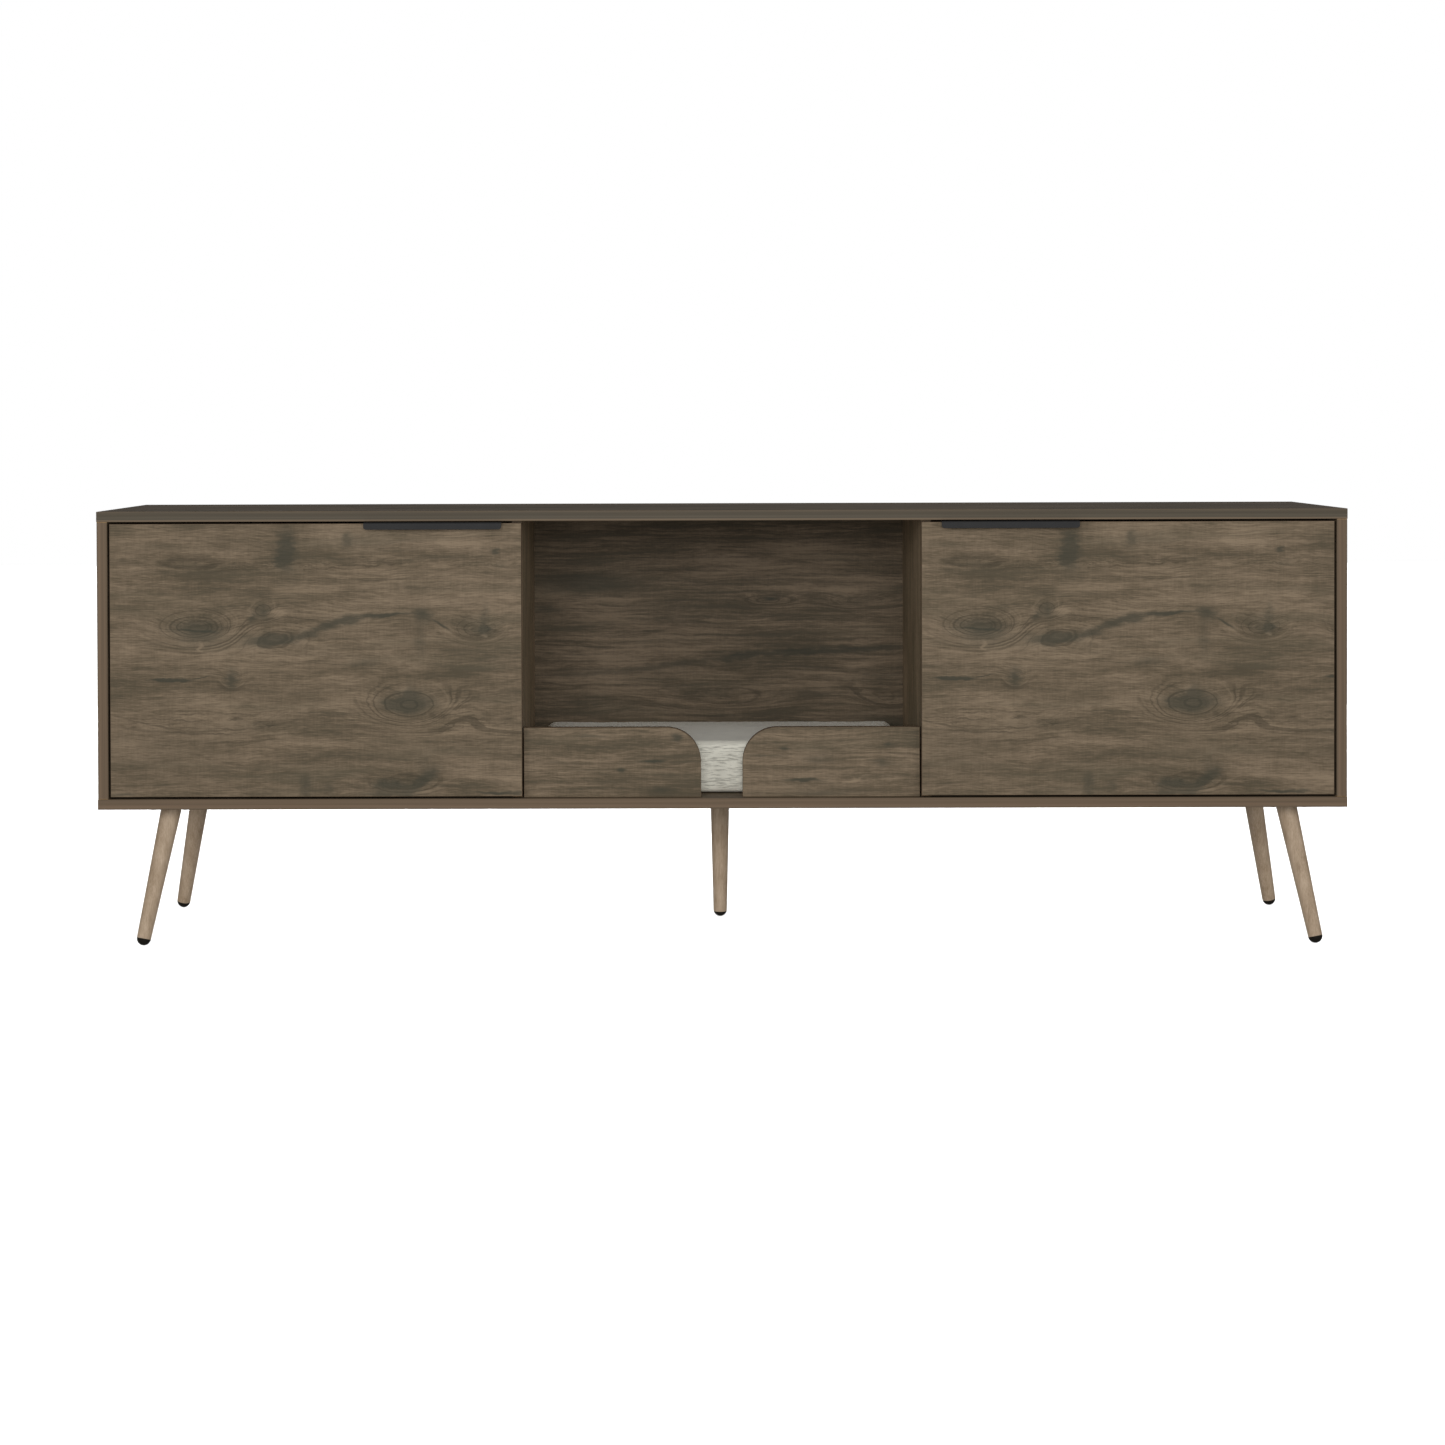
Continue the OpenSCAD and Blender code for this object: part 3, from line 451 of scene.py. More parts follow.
@dataclass(frozen=True)
class WoodFinish:
    """Laminate printed with rustic oak."""

    name: str
    run: Run
    origin: tuple[float, float, float]
    figure: Figure = Figure()
    tones: Tones = OAK_TONES
    seed: float = 0.0
    gloss: float = 0.22
    gain: float = 1.22
    relief: float = 0.12 * MM

    def read(self, shader: Shader, point: bpy.types.NodeSocket, layer: Layer) -> Signal:
        """Reads a layer of noise at this board's own part of the pattern."""
        seed = self.seed + layer.seed
        return shader.noise(point, layer.size, layer.detail, layer.rough, seed) * layer.weight

    def material(self) -> bpy.types.Material:
        """Builds the material.

        Returns:
            The material, its figure fixed to the object's own frame.
        """
        shader = Shader(self.name)
        fig, tones = self.figure, self.tones
        point = shader.place(self.run, self.origin)
        wander = self.read(shader, point, WANDER)
        swell = shader.ovals(point, fig.swirls)
        flow = shader.shift(point, 0.0, wander * WANDER_REACH + swell * SWELL_REACH)
        along, across = (self.read(shader, point, layer) for layer in (TORN_ALONG, TORN_ACROSS))
        torn = shader.shift(point, along, across)
        length, _, depth = STREAK.size
        streak = self.read(shader, flow, replace(STREAK, size=(length, fig.streak_width, depth)))
        fine = self.read(shader, flow, FINE)

        tone = streak * (STREAK_WEIGHT * fig.streaky) + fine * FINE_WEIGHT + 0.5
        for where, layer in ((point, BROAD), (flow, PATCH), (flow, HAIR), (point, FLECK)):
            tone = tone + self.read(shader, where, layer)
        stops = ((0.22, tones.dark), (0.43, tones.low), (0.6, tones.high), (0.86, tones.light))
        colour = shader.ramp(tone, *stops)
        olive = shader.ease(self.read(shader, flow, HUE), 0.0, 0.26) * 0.32
        colour = shader.mix(colour, tones.olive, olive)

        if fig.swirls:
            reach = [
                replace(o.grown(1.45, 1.7), strength=min(1.0, 3 * abs(o.strength)))
                for o in fig.swirls
            ]
            near = shader.ease(shader.ovals(point, reach), 0.2, 0.85)
            axes = shader.axes(shader.shift(torn, 0.0, wander * 14.0))
            level = axes[1] * 0.30 + swell * 30.0 + fine * 1.6
            lines = shader.node("ShaderNodeCombineXYZ", None, {0: axes[0], 1: level}).outputs[0]
            rings = self.read(shader, lines, RINGS)
            dark = shader.ease(rings, 0.03, 0.15) * (near * 0.46 + 0.08)
            light = shader.ease(rings, -0.08, -0.2) * (near * 0.16 + 0.04)
            colour = shader.mix(shader.mix(colour, tones.line, dark), tones.glow, light)
        if fig.ripples:
            rippled = shader.ease(shader.ovals(point, fig.ripples), 0.15, 0.8)
            wave = self.read(shader, torn, WAVE)
            dark = shader.ease(wave, 0.03, 0.17) * rippled * 0.5
            light = shader.ease(wave, -0.06, -0.2) * rippled * 0.3
            colour = shader.mix(shader.mix(colour, tones.line, dark), tones.glow, light)
        if fig.glows:
            glow = shader.ease(shader.ovals(torn, fig.glows) + streak * 0.9 + fine * 0.5, 0.15, 1.0)
            colour = shader.mix(colour, tones.glow, glow * 0.62)
        if fig.blots:
            knots = [o.grown(1.2, 1.25) for o in fig.blots if o.half_across > CRACK_HEIGHT]
            blot = shader.ease(shader.ovals(torn, knots) + streak * 0.5 + fine * 0.7, 0.06, 0.95)
            colour = shader.mix(colour, tones.knot, blot * 0.74)
            cracks = [o for o in fig.blots if o.half_across <= CRACK_HEIGHT]
            bent = shader.shift(point, 0.0, self.read(shader, point, CRACK_WANDER))
            crack = shader.ease(shader.ovals(bent, cracks) + fine * 0.8, 0.12, 0.8)
            colour = shader.mix(colour, tones.knot, crack * 0.85)
        colour = shader.mix(colour, (self.gain,) * 3, 1.0, "MULTIPLY")
        return shader.finish({
            "Base Color": colour,
            "Roughness": shader.math("ADD", 0.62, streak * 0.25),
            "Specular IOR Level": self.gloss,
            "Normal": shader.bump(fine + streak, self.relief),
        })


@dataclass(frozen=True)
class BandFinish:
    """Edging on a board's narrow faces, striped along the board."""

    name: str
    run: Run
    origin: tuple[float, float, float]
    stops: Stops
    board: float
    seed: float = 0.0
    relief: float = 0.10 * MM

    def material(self) -> bpy.types.Material:
        """Builds the material.

        Returns:
            The material.
        """
        shader = Shader(self.name)
        point = shader.place(self.run, self.origin)
        drift = shader.noise(point, (240, 9, 240), 2.0, seed=self.seed)
        lines = shader.noise(point, (190, 0.8, 190), 3.0, 0.6, seed=self.seed + 1)
        where = shader.axes(point)[1] * (1 / self.board) + drift * 0.05 + lines * 0.08
        colour = shader.mix(shader.ramp(where, *self.stops), lines * 0.8 + 1.0, 1.0, "MULTIPLY")
        return shader.finish({
            "Base Color": colour,
            "Roughness": shader.math("ADD", 0.55, lines * 0.3),
            "Specular IOR Level": 0.25,
            "Normal": shader.bump(lines, self.relief),
        })


@dataclass(frozen=True)
class ChipFinish:
    """Raw chipboard, seen inside bores and grooves."""

    name: str = "raw_chipboard"
    relief: float = 0.4 * MM

    def material(self) -> bpy.types.Material:
        """Builds the material.

        Returns:
            The material.
        """
        shader = Shader(self.name)
        point = shader.place(Run.FLAT, (0, 0, 0))
        chips = shader.noise(point, (2.2, 1.4, 0.9), 4.0, 0.7)
        dark, middle, light = srgb(120, 92, 60), srgb(168, 136, 96), srgb(205, 178, 136)
        colour = shader.ramp(chips + 0.5, (0.3, dark), (0.5, middle), (0.7, light))
        return shader.finish({
            "Base Color": colour,
            "Roughness": shader.math("ADD", 0.85, chips * 0.2),
            "Specular IOR Level": 0.2,
            "Normal": shader.bump(chips, self.relief),
        })


@dataclass(frozen=True)
class TurnedOakFinish:
    """Light oak, turned and matt lacquered."""

    name: str = "turned_oak"
    seed: float = 0.0
    relief: float = 0.18 * MM

    def material(self) -> bpy.types.Material:
        """Builds the material.

        Returns:
            The material.
        """
        shader = Shader(self.name)
        point = shader.place(Run.UPRIGHT_FRONT, (0, 0, 0))
        cloud = shader.noise(point, (38, 13, 13), 3.0, 0.6, seed=self.seed)
        grain = shader.noise(point, (60, 1.6, 1.6), 4.0, 0.65, seed=self.seed + 3)
        pores = shader.ease(shader.noise(point, (9, 0.5, 0.5), 2.0, seed=self.seed + 6), 0.13, 0.25)
        fibre = shader.noise(point, (7, 0.8, 0.8), 2.0, 0.6, seed=self.seed + 9)
        tone = cloud * 0.7 + grain * 0.6 + fibre * 0.45 + 0.5
        dark, middle, light = srgb(155, 132, 106), srgb(186, 163, 137), srgb(209, 187, 161)
        colour = shader.ramp(tone, (0.25, dark), (0.5, middle), (0.78, light))
        colour = shader.mix(colour, srgb(112, 92, 70), pores * 0.35)
        return shader.finish({
            "Base Color": colour,
            "Roughness": shader.math("ADD", 0.52, grain * 0.3),
            "Specular IOR Level": 0.3,
            "Normal": shader.bump(grain - pores * 0.3, self.relief),
        })


@dataclass(frozen=True)
class MetalFinish:
    """A plated or powder-coated metal with a fine uneven surface."""

    name: str
    colour: Colour
    metal: float
    rough: float
    grain: float
    tooth: float
    wear: float = 0.12

    def material(self) -> bpy.types.Material:
        """Builds the material.

        Returns:
            The material.
        """
        shader = Shader(self.name)
        point = shader.place(Run.FLAT, (0, 0, 0))
        speck = shader.noise(point, (self.grain,) * 3, 2.0, 0.6)
        cloud = shader.noise(point, (26, 26, 26), 2.0)
        level = speck * self.wear + cloud * self.wear * 1.5 + 1.0
        return shader.finish({
            "Base Color": shader.mix(self.colour, level, 1.0, "MULTIPLY"),
            "Metallic": self.metal,
            "Specular IOR Level": 0.3,
            "Roughness": shader.math("ADD", self.rough, speck * 0.2 + cloud * 0.15),
            "Normal": shader.bump(speck, self.tooth),
        })


ZINC = MetalFinish(
    "zinc_plating", srgb(196, 197, 200), metal=1.0, rough=0.34, grain=0.5, tooth=0.03 * MM
)
NICKEL = MetalFinish(
    "nickel_plating", srgb(190, 188, 183), metal=1.0, rough=0.26, grain=0.7, tooth=0.02 * MM
)
CHARCOAL = MetalFinish(
    "charcoal_powder_coat", srgb(34, 34, 35), metal=0.0, rough=0.55, grain=0.35, tooth=0.07 * MM
)


@dataclass(frozen=True)
class PlasticFinish:
    """Moulded plastic with a slight texture."""

    name: str
    colour: Colour
    rough: float
    tooth: float = 0.04 * MM

    def material(self) -> bpy.types.Material:
        """Builds the material.

        Returns:
            The material.
        """
        shader = Shader(self.name)
        point = shader.place(Run.FLAT, (0, 0, 0))
        speck = shader.noise(point, (0.5, 0.5, 0.5), 2.0)
        scuff = shader.noise(point, (6, 6, 3), 3.0, 0.65, seed=4)
        return shader.finish({
            "Base Color": shader.mix(self.colour, scuff * 0.5 + 1.0, 1.0, "MULTIPLY"),
            "Roughness": shader.math("ADD", self.rough, scuff * 0.35),
            "Specular IOR Level": 0.15,
            "Normal": shader.bump(speck, self.tooth),
        })


@dataclass(frozen=True)
class FabricFinish:
    """Off-white brushed pile fabric with fine combed lines on its upright sides."""

    name: str = "cushion_cover"
    colour: Colour = srgb(252, 249, 234)
    shade: Colour = srgb(172, 169, 156)
    relief: float = 0.9 * MM

    def material(self) -> bpy.types.Material:
        """Builds the material.

        Returns:
            The material.
        """
        shader = Shader(self.name)
        point = shader.place(Run.FRONT, (0, 0, 0))
        pile = shader.noise(point, (1.3, 1.3, 1.3), 3.0, 0.7)
        drift = shader.noise(point, (34, 16, 34), 2.0, seed=2)
        bent = shader.shift(point, 0.0, drift * 6.0 + pile * 0.5)
        combed = shader.noise(bent, (17, 1.5, 17), 2.0, 0.5, seed=7)
        facing = shader.axes(shader.node("ShaderNodeNewGeometry").outputs["Normal"])
        flat = shader.math("ABSOLUTE", facing[2])
        lines = shader.ease(combed, 0.02, 0.16) * (1 - shader.ease(flat, 0.55, 0.95))
        speck = shader.ease(pile, 0.08, 0.26)
        colour = shader.mix(self.colour, self.shade, lines * 0.66 + speck * 0.34)
        colour = shader.mix(colour, drift * 0.22 + 1.0, 1.0, "MULTIPLY")
        return shader.finish({
            "Base Color": colour,
            "Roughness": shader.math("ADD", 0.9, pile * 0.2),
            "Specular IOR Level": 0.15,
            "Sheen Weight": 0.25,
            "Sheen Roughness": 0.5,
            "Normal": shader.bump(pile * 0.8 - lines * 0.5, self.relief),
        })


# ------------------------------------------------------------------ bench work


class Bench:
    """Modelling steps shared by the pieces, each done with Blender's own operators."""

    def only(self, piece: bpy.types.Object) -> None:
        """Selects one object and nothing else.

        Args:
            piece: The object.
        """
        bpy.ops.object.select_all(action="DESELECT")
        piece.select_set(True)
        bpy.context.view_layer.objects.active = piece

    def copy_of(self, node: str, name: str) -> bpy.types.Object:
        """Copies a CAD node's mesh into a new piece and joins its loose triangles.

        Args:
            node: The CAD node.
            name: The new piece's name.

        Returns:
            The new piece.
        """
        made = bpy.data.objects.new(name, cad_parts[node].data.copy())
        made.data.materials.clear()
        bpy.context.scene.collection.objects.link(made)
        self.only(made)
        bpy.ops.mesh.customdata_custom_splitnormals_clear()
        bpy.ops.object.mode_set(mode="EDIT")
        bpy.ops.mesh.select_all(action="SELECT")
        bpy.ops.mesh.remove_doubles(threshold=2e-6)
        bpy.ops.mesh.dissolve_limited(angle_limit=math.radians(0.3))
        bpy.ops.object.mode_set(mode="OBJECT")
        bpy.ops.object.shade_flat()
        return made

    def pick_edges(self, piece: bpy.types.Object, rule: Callable[[Vector, Vector], bool]) -> int:
        """Selects the edges whose two ends pass a rule, and nothing else.

        Args:
            piece: The piece.
            rule: Takes the two end points.

        Returns:
            How many edges are selected.
        """
        self.only(piece)
        bpy.context.tool_settings.mesh_select_mode = (False, True, False)
        bpy.ops.object.mode_set(mode="EDIT")
        bpy.ops.mesh.select_all(action="DESELECT")
        bpy.ops.object.mode_set(mode="OBJECT")
        mesh = piece.data
        count = 0
        for edge in mesh.edges:
            first, second = (mesh.vertices[v].co for v in edge.vertices)
            if rule(first, second):
                edge.select = True
                count += 1
        return count

    def bevel_picked(self, width: float, segments: int) -> None:
        """Rounds the selected edges of the active piece.

        Args:
            width: The width of the rounding.
            segments: How many faces it has.
        """
        bpy.ops.object.mode_set(mode="EDIT")
        bpy.ops.mesh.bevel(offset=width, segments=segments, affect="EDGES", clamp_overlap=True)
        bpy.ops.object.mode_set(mode="OBJECT")

    def ease_arrises(self, piece: bpy.types.Object, box: Span, width: float, segments: int = 2) -> None:
        """Rounds the edges that lie along the piece's own box.

        Args:
            piece: The piece.
            box: Its lowest and highest corner.
            width: The width of the rounding.
            segments: How many faces it has.
        """

        def on_box_edge(first: Vector, second: Vector) -> bool:
            """Whether an edge lies in two of the box's faces.

            Args:
                first: One end of the edge.
                second: The other end.

            Returns:
                True if it does.
            """
            sides = 0
            for axis in range(3):
                for corner in box:
                    if all(abs(end[axis] - corner[axis]) < TOUCH for end in (first, second)):
                        sides += 1
            return sides >= 2

        if self.pick_edges(piece, on_box_edge):
            self.bevel_picked(width, segments)

    def ease_sharp(
        self, piece: bpy.types.Object, width: float, segments: int, angle: float = 50.0
    ) -> None:
        """Rounds every edge sharper than an angle.

        Args:
            piece: The piece.
            width: The width of the rounding.
            segments: How many faces it has.
            angle: The angle in degrees.
        """
        self.only(piece)
        bpy.ops.object.modifier_add(type="BEVEL")
        bevel = piece.modifiers[-1]
        bevel.width = width
        bevel.segments = segments
        bevel.limit_method = "ANGLE"
        bevel.angle_limit = math.radians(angle)
        bevel.use_clamp_overlap = True
        bpy.ops.object.modifier_apply(modifier=bevel.name)

    def smooth(self, piece: bpy.types.Object, angle: float = 35.0) -> None:
        """Smooths the shading across gentle edges and keeps flat faces flat.

        Args:
            piece: The piece.
            angle: The greatest angle in degrees that is smoothed.
        """
        self.only(piece)
        bpy.ops.object.shade_smooth_by_angle(angle=math.radians(angle))
        bpy.ops.object.modifier_add(type="WEIGHTED_NORMAL")
        weighted = piece.modifiers[-1]
        weighted.keep_sharp = True
        bpy.ops.object.modifier_apply(modifier=weighted.name)

    def dress(
        self,
        piece: bpy.types.Object,
        materials: list[bpy.types.Material],
        rule: Optional[Callable[[Vector, Vector], int]] = None,
    ) -> None:
        """Gives a piece its materials.

        Args:
            piece: The piece.
            materials: Its materials.
            rule: Takes a face's centre and normal, and gives the material's number.
        """
        piece.data.materials.clear()
        for material in materials:
            piece.data.materials.append(material)
        for face in piece.data.polygons:
            face.material_index = rule(face.center, face.normal) if rule else 0

    def stand_for(self, piece: bpy.types.Object, body: str, slot: str, *nodes: str) -> None:
        """Makes a piece ride on a body, in place of CAD nodes.

        Args:
            piece: The piece.
            body: The body it rides on.
            slot: Its material slot; not used.
            nodes: The CAD nodes it replaces.
        """
        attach(piece, body)
        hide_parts(*nodes)

    def redress(self, node: str, material: bpy.types.Material) -> None:
        """Gives a CAD node that stays as it is one new material.

        Args:
            node: The CAD node.
            material: The material.
        """
        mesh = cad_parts[node].data
        mesh.materials.clear()
        mesh.materials.append(material)
        LOG.info("dressed %s", node)


@dataclass
class Board:
    """A laminated board: big faces, edging on its narrow faces, raw chipboard in its holes."""

    node: str
    body: str
    slot: str
    thin: int
    face: bpy.types.Material
    band: bpy.types.Material
    raw: bpy.types.Material
    arris: float = 0.8 * MM
    raw_sides: tuple[int, ...] = ()

    def build(self, bench: Bench) -> bpy.types.Object:
        """Builds the board from its CAD node and dresses it.

        Args:
            bench: The bench.

        Returns:
            The board.
        """
        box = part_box(self.node)
        piece = bench.copy_of(self.node, f"{self.node}_board")
        bench.ease_arrises(piece, box, self.arris)

        def which(centre: Vector, normal: Vector) -> int:
            """Picks a face's material.

            Args:
                centre: The face's centre.
                normal: Its normal.

            Returns:
                0 for a big face, 1 for edging, 2 for raw chipboard.
            """
            near = [min(abs(centre[a] - box[0][a]), abs(centre[a] - box[1][a])) for a in range(3)]
            if near[self.thin] < TOUCH and abs(normal[self.thin]) > 0.99:
                return 0
            if any(near[a] < self.arris and a in self.raw_sides for a in range(3)):
                return 2
            return 1 if any(near[a] < self.arris for a in range(3) if a != self.thin) else 2

        bench.dress(piece, [self.face, self.band, self.raw], which)
        bench.stand_for(piece, self.body, self.slot, self.node)
        LOG.info("built %s", piece.name)
        return piece


# ------------------------------------------------------------------ figures of the boards

# The doors' print starts again after this many millimetres, and this much of it shows twice
REPEAT = 565.0
SHOWN_TWICE = 75.0


def ovals(*rows: tuple[float, ...]) -> tuple[Oval, ...]:
    """Ovals from rows of along, across, half along, half across, strength and rise."""
    return tuple(Oval(*row) for row in rows)


def repeated(*rows: tuple[float, ...]) -> tuple[Oval, ...]:
    """Ovals from rows, and again the ones that lie near the start of the print.

    Args:
        rows: Rows as ovals() takes them.

    Returns:
        The ovals.
    """
    patches = ovals(*rows)
    near_start = (o for o in patches if o.along - 2 * o.half_along < SHOWN_TWICE)
    return patches + tuple(replace(o, along=o.along + REPEAT) for o in near_start)


DOOR_FIGURE = Figure(
    swirls=repeated(
        (122, 243, 54, 23, 1.7), (118, 333, 60, 12, 0.3), (569, 335, 22, 11, 0.3),
        (336, 332, 24, 13, 0.35), (385, 333, 30, 13, 0.35), (450, 336, 50, 11, 0.25),
        (432, 130, 56, 27, 1.7), (528, 240, 34, 18, 1.0), (150, 108, 105, 22, 0.35),
        (573, 107, 40, 14, 0.3), (240, 232, 50, 22, -0.8, 8), (222, 267, 16, 13, 0.6),
        (176, 170, 14, 12, 0.5), (424, 17, 50, 16, 0.6), (500, 112, 34, 20, -0.25),
    ),
    ripples=repeated(
        (150, 108, 130, 20), (300, 333, 290, 11, 0.8), (122, 243, 85, 28, 0.7),
        (265, 252, 60, 28, 0.7), (395, 268, 60, 14, 0.6), (528, 250, 50, 30, 0.8),
        (500, 112, 60, 26, 0.8), (430, 16, 110, 16, 0.7),
    ),
    blots=repeated(
        (255, 357, 12, 26, 1.15), (243, 340, 7, 9, 0.5), (342, 372, 7, 16, 0.5),
        (362, 370, 26, 9, 0.35), (556, 353, 5, 4, 1.0), (118, 333, 46, 5, 0.32),
        (221, 267, 11, 12, 0.7), (205, 258, 5, 7, 0.6), (122, 243, 44, 14, 0.68),
        (126, 240, 34, 2.4, 0.9, -4), (135, 226, 30, 12, 0.4), (222, 226, 30, 9, 0.85, 6),
        (262, 229, 36, 6, 0.6, 8), (305, 243, 26, 5, 0.6, 24), (345, 255, 28, 5.5, 1.0, 10),
        (395, 262, 44, 3.4, 0.8, 3), (452, 262, 15, 8, 0.8, -20), (478, 247, 20, 2.5, 0.7, -34),
        (447, 224, 9, 26, 0.45), (528, 243, 30, 15, 0.42), (540, 240, 6, 6, 0.75),
        (541, 267, 6, 16, 0.4), (88, 169, 28, 2.3, 1.5, -1), (132, 173, 20, 1.1, 0.7, 5),
        (175, 170, 9, 13, 0.85), (365, 192, 26, 6, 0.55, 4), (432, 136, 33, 14, 1.0),
        (412, 134, 20, 7, 0.6), (432, 156, 8, 10, 0.3), (79, 66, 90, 34, 0.26),
        (215, 104, 70, 12, 0.26), (390, 22, 9, 8, 0.4), (281, 16, 8, 18, 0.6),
        (315, 12, 8, 12, 0.5), (408, 16, 26, 7, 0.9), (452, 24, 24, 7, 0.8, 38),
        (400, 3, 40, 4, 0.6), (454, 44, 13, 13, 0.4), (545, 6, 30, 2.4, 0.7), (20, 5, 24, 3, 0.5),
        (565, 335, 12, 4, 0.4),
    ),
    glows=repeated(
        (246, 265, 13, 8, 1.0), (130, 216, 4, 6, 1.1), (280, 238, 13, 5, 0.8, 20),
        (352, 266, 26, 4, 0.8, 8), (420, 268, 40, 4, 0.5), (255, 298, 40, 20, 0.5),
        (330, 300, 60, 16, 0.3), (540, 232, 5, 5, 0.9), (425, 155, 18, 5, 0.9),
        (485, 130, 9, 24, 0.55, 60), (452, 88, 60, 7, 0.5, 4), (150, 135, 110, 10, 0.4),
        (60, 383, 90, 20, 0.35), (470, 380, 90, 18, 0.4), (300, 190, 90, 16, 0.3),
        (200, 190, 40, 10, 0.4), (90, 285, 60, 10, 0.4), (585, 245, 24, 4, 0.6),
        (300, 40, 40, 14, 0.35), (535, 50, 50, 20, 0.35),
    ),
    streaky=0.7,
)

BACK_FIGURE = Figure(
    swirls=ovals(
        (552, 108, 56, 20, 0.5, -8), (365, 263, 40, 8, 0.8), (520, 262, 60, 12, 0.8),
        (300, 110, 90, 20, 0.6),
    ),
    blots=ovals(
        (75, 292, 80, 15, 0.75), (20, 250, 24, 7, 0.6), (90, 150, 90, 6, 0.5, 3),
        (235, 166, 70, 5, 0.6, 7), (325, 176, 26, 5, 0.9, 8), (410, 182, 60, 4.5, 0.9, 2),
        (520, 187, 70, 5, 0.8, 2), (540, 145, 40, 4, 0.5), (130, 50, 130, 8, 0.55, -3),
        (290, 25, 90, 9, 0.6, 6), (540, 50, 60, 26, 0.95), (500, 30, 60, 7, 0.5, -14),
        (370, 266, 12, 3, 0.7), (430, 118, 70, 4, 0.5), (60, 115, 60, 6, 0.3),
    ),
    glows=ovals(
        (120, 232, 90, 16, 0.6), (300, 228, 70, 10, 0.4), (150, 162, 40, 3, 0.7, 4),
        (80, 190, 60, 4, 0.5), (380, 128, 90, 10, 0.5), (450, 132, 26, 6, 0.6),
        (300, 70, 120, 8, 0.4), (40, 66, 60, 3, 0.5), (500, 196, 60, 3, 0.6),
    ),
    streaky=2.5,
    streak_width=4.6,
)

RAIL_FIGURE_LEFT = Figure(
    blots=ovals(
        (222, 86, 8, 6, 1.0), (186, 52, 22, 3, 0.9), (140, 40, 8, 3, 0.8), (95, 88, 34, 3, 0.5),
        (200, 10, 20, 5, 0.6), (60, 50, 40, 3, 0.3),
    ),
    glows=ovals((215, 68, 26, 4, 0.7), (70, 38, 60, 3, 0.6), (120, 20, 80, 5, 0.4)),
    streaky=1.7,
    streak_width=3.8,
)

RAIL_FIGURE_RIGHT = Figure(
    blots=ovals(
        (88, 25, 30, 3.4, 0.95), (110, 55, 24, 8, 0.5), (200, 50, 14, 5, 0.6), (60, 70, 10, 3, 0.7),
        (210, 76, 9, 3, 0.6), (120, 6, 60, 5, 0.5), (30, 60, 40, 2.5, 0.5),
    ),
    glows=ovals((160, 24, 26, 3, 0.8, 16), (150, 40, 60, 3, 0.5), (60, 86, 80, 5, 0.5)),
    streaky=1.7,
    streak_width=3.8,
)

TOP_BAND = (
    (0.0, srgb(116, 100, 81)),
    (0.15, srgb(118, 102, 83)),
    (0.24, srgb(84, 77, 64)),
    (0.4, srgb(94, 85, 71)),
    (0.56, srgb(84, 76, 62)),
    (0.72, srgb(85, 76, 62)),
    (0.86, srgb(92, 82, 67)),
    (0.97, srgb(104, 91, 75)),
)
PLAIN_BAND = (
    (0.0, srgb(101, 85, 67)),
    (0.12, srgb(112, 95, 76)),
    (0.25, srgb(121, 101, 80)),
    (0.38, srgb(117, 97, 77)),
    (0.5, srgb(107, 90, 71)),
    (0.62, srgb(111, 93, 73)),
    (0.75, srgb(116, 97, 77)),
    (0.88, srgb(108, 91, 72)),
    (1.0, srgb(105, 88, 70)),
)


# ------------------------------------------------------------------ sub-assemblies


class Side(Enum):
    """The two ends of the stand, as seen from the front."""

    LEFT = "left"
    RIGHT = "right"


def laminate(node: str, run: Run, figure: Figure = Figure(), **looks: float) -> bpy.types.Material:
    """The laminate of a board, its figure starting at the board's lowest corner.

    Args:
        node: The board's CAD node.
        run: Which way its grain runs.
        figure: What is printed on it.
        looks: The seed, and the gloss and gain where they aren't the usual ones.

    Returns:
        The material.
    """
    return WoodFinish(f"{node}_laminate", run, tuple(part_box(node)[0]), figure, **looks).material()


def edging(node: str, run: Run, seed: float, stops: Stops = PLAIN_BAND) -> bpy.types.Material:
    """The edging of a board, its stripes set out over the board's thickness.

    Args:
        node: The board's CAD node.
        run: Which way its stripes run.
        seed: Its part of the pattern.
        stops: The colours of its stripes.

    Returns:
        The material.
    """
    low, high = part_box(node)
    board = min(high - low) / MM
    return BandFinish(f"{node}_edging", run, tuple(low), stops, board, seed).material()


@dataclass
class Carcass:
    """Top, base, sides and dividers; the top and base laminate is darkened as painted shade and the
    dividers' brightened as painted light.
    """

    bench: Bench
    arris: float = 0.8 * MM
    flat_gloss: float = 0.2
    # Darkens the top and base print: painted shade for the dim light on their flat faces
    flat_painted_shade_gain: float = 0.9
    side_gain: float = 1.13
    # Brightens the dividers' print: painted light for the little light on their inner faces
    divider_painted_light_gain: float = 1.6

    def build(self, raw: bpy.types.Material) -> None:
        """Builds the five kinds of board.

        Args:
            raw: Raw chipboard for the holes.
        """
        for node, slot, stops, seed in (
            ("top_panel", "top_wood", TOP_BAND, 3.0),
            ("base_panel", "carcass_wood", PLAIN_BAND, 17.0),
        ):
            # The gain darkens the top and base laminate as painted shade
            face = laminate(node, Run.FLAT, seed=seed, gloss=self.flat_gloss, gain=self.flat_painted_shade_gain)
            band = edging(node, Run.FRONT, seed, stops)
            Board(node, "cabinet", slot, 2, face, band, raw, self.arris).build(self.bench)
        for number, (node, gain) in enumerate((
            ("left_side_panel", self.side_gain),
            ("right_side_panel", self.side_gain),
            ("left_divider", self.divider_painted_light_gain),
            ("right_divider", self.divider_painted_light_gain),
        )):
            # For the dividers the gain brightens the laminate as painted light
            face = laminate(node, Run.UPRIGHT_SIDE, seed=31.0 + 7 * number, gain=gain)
            band = edging(node, Run.UPRIGHT_FRONT, 40.0 + number)
            board = Board(node, "cabinet", "carcass_wood", 0, face, band, raw, self.arris, (2,))
            board.build(self.bench)


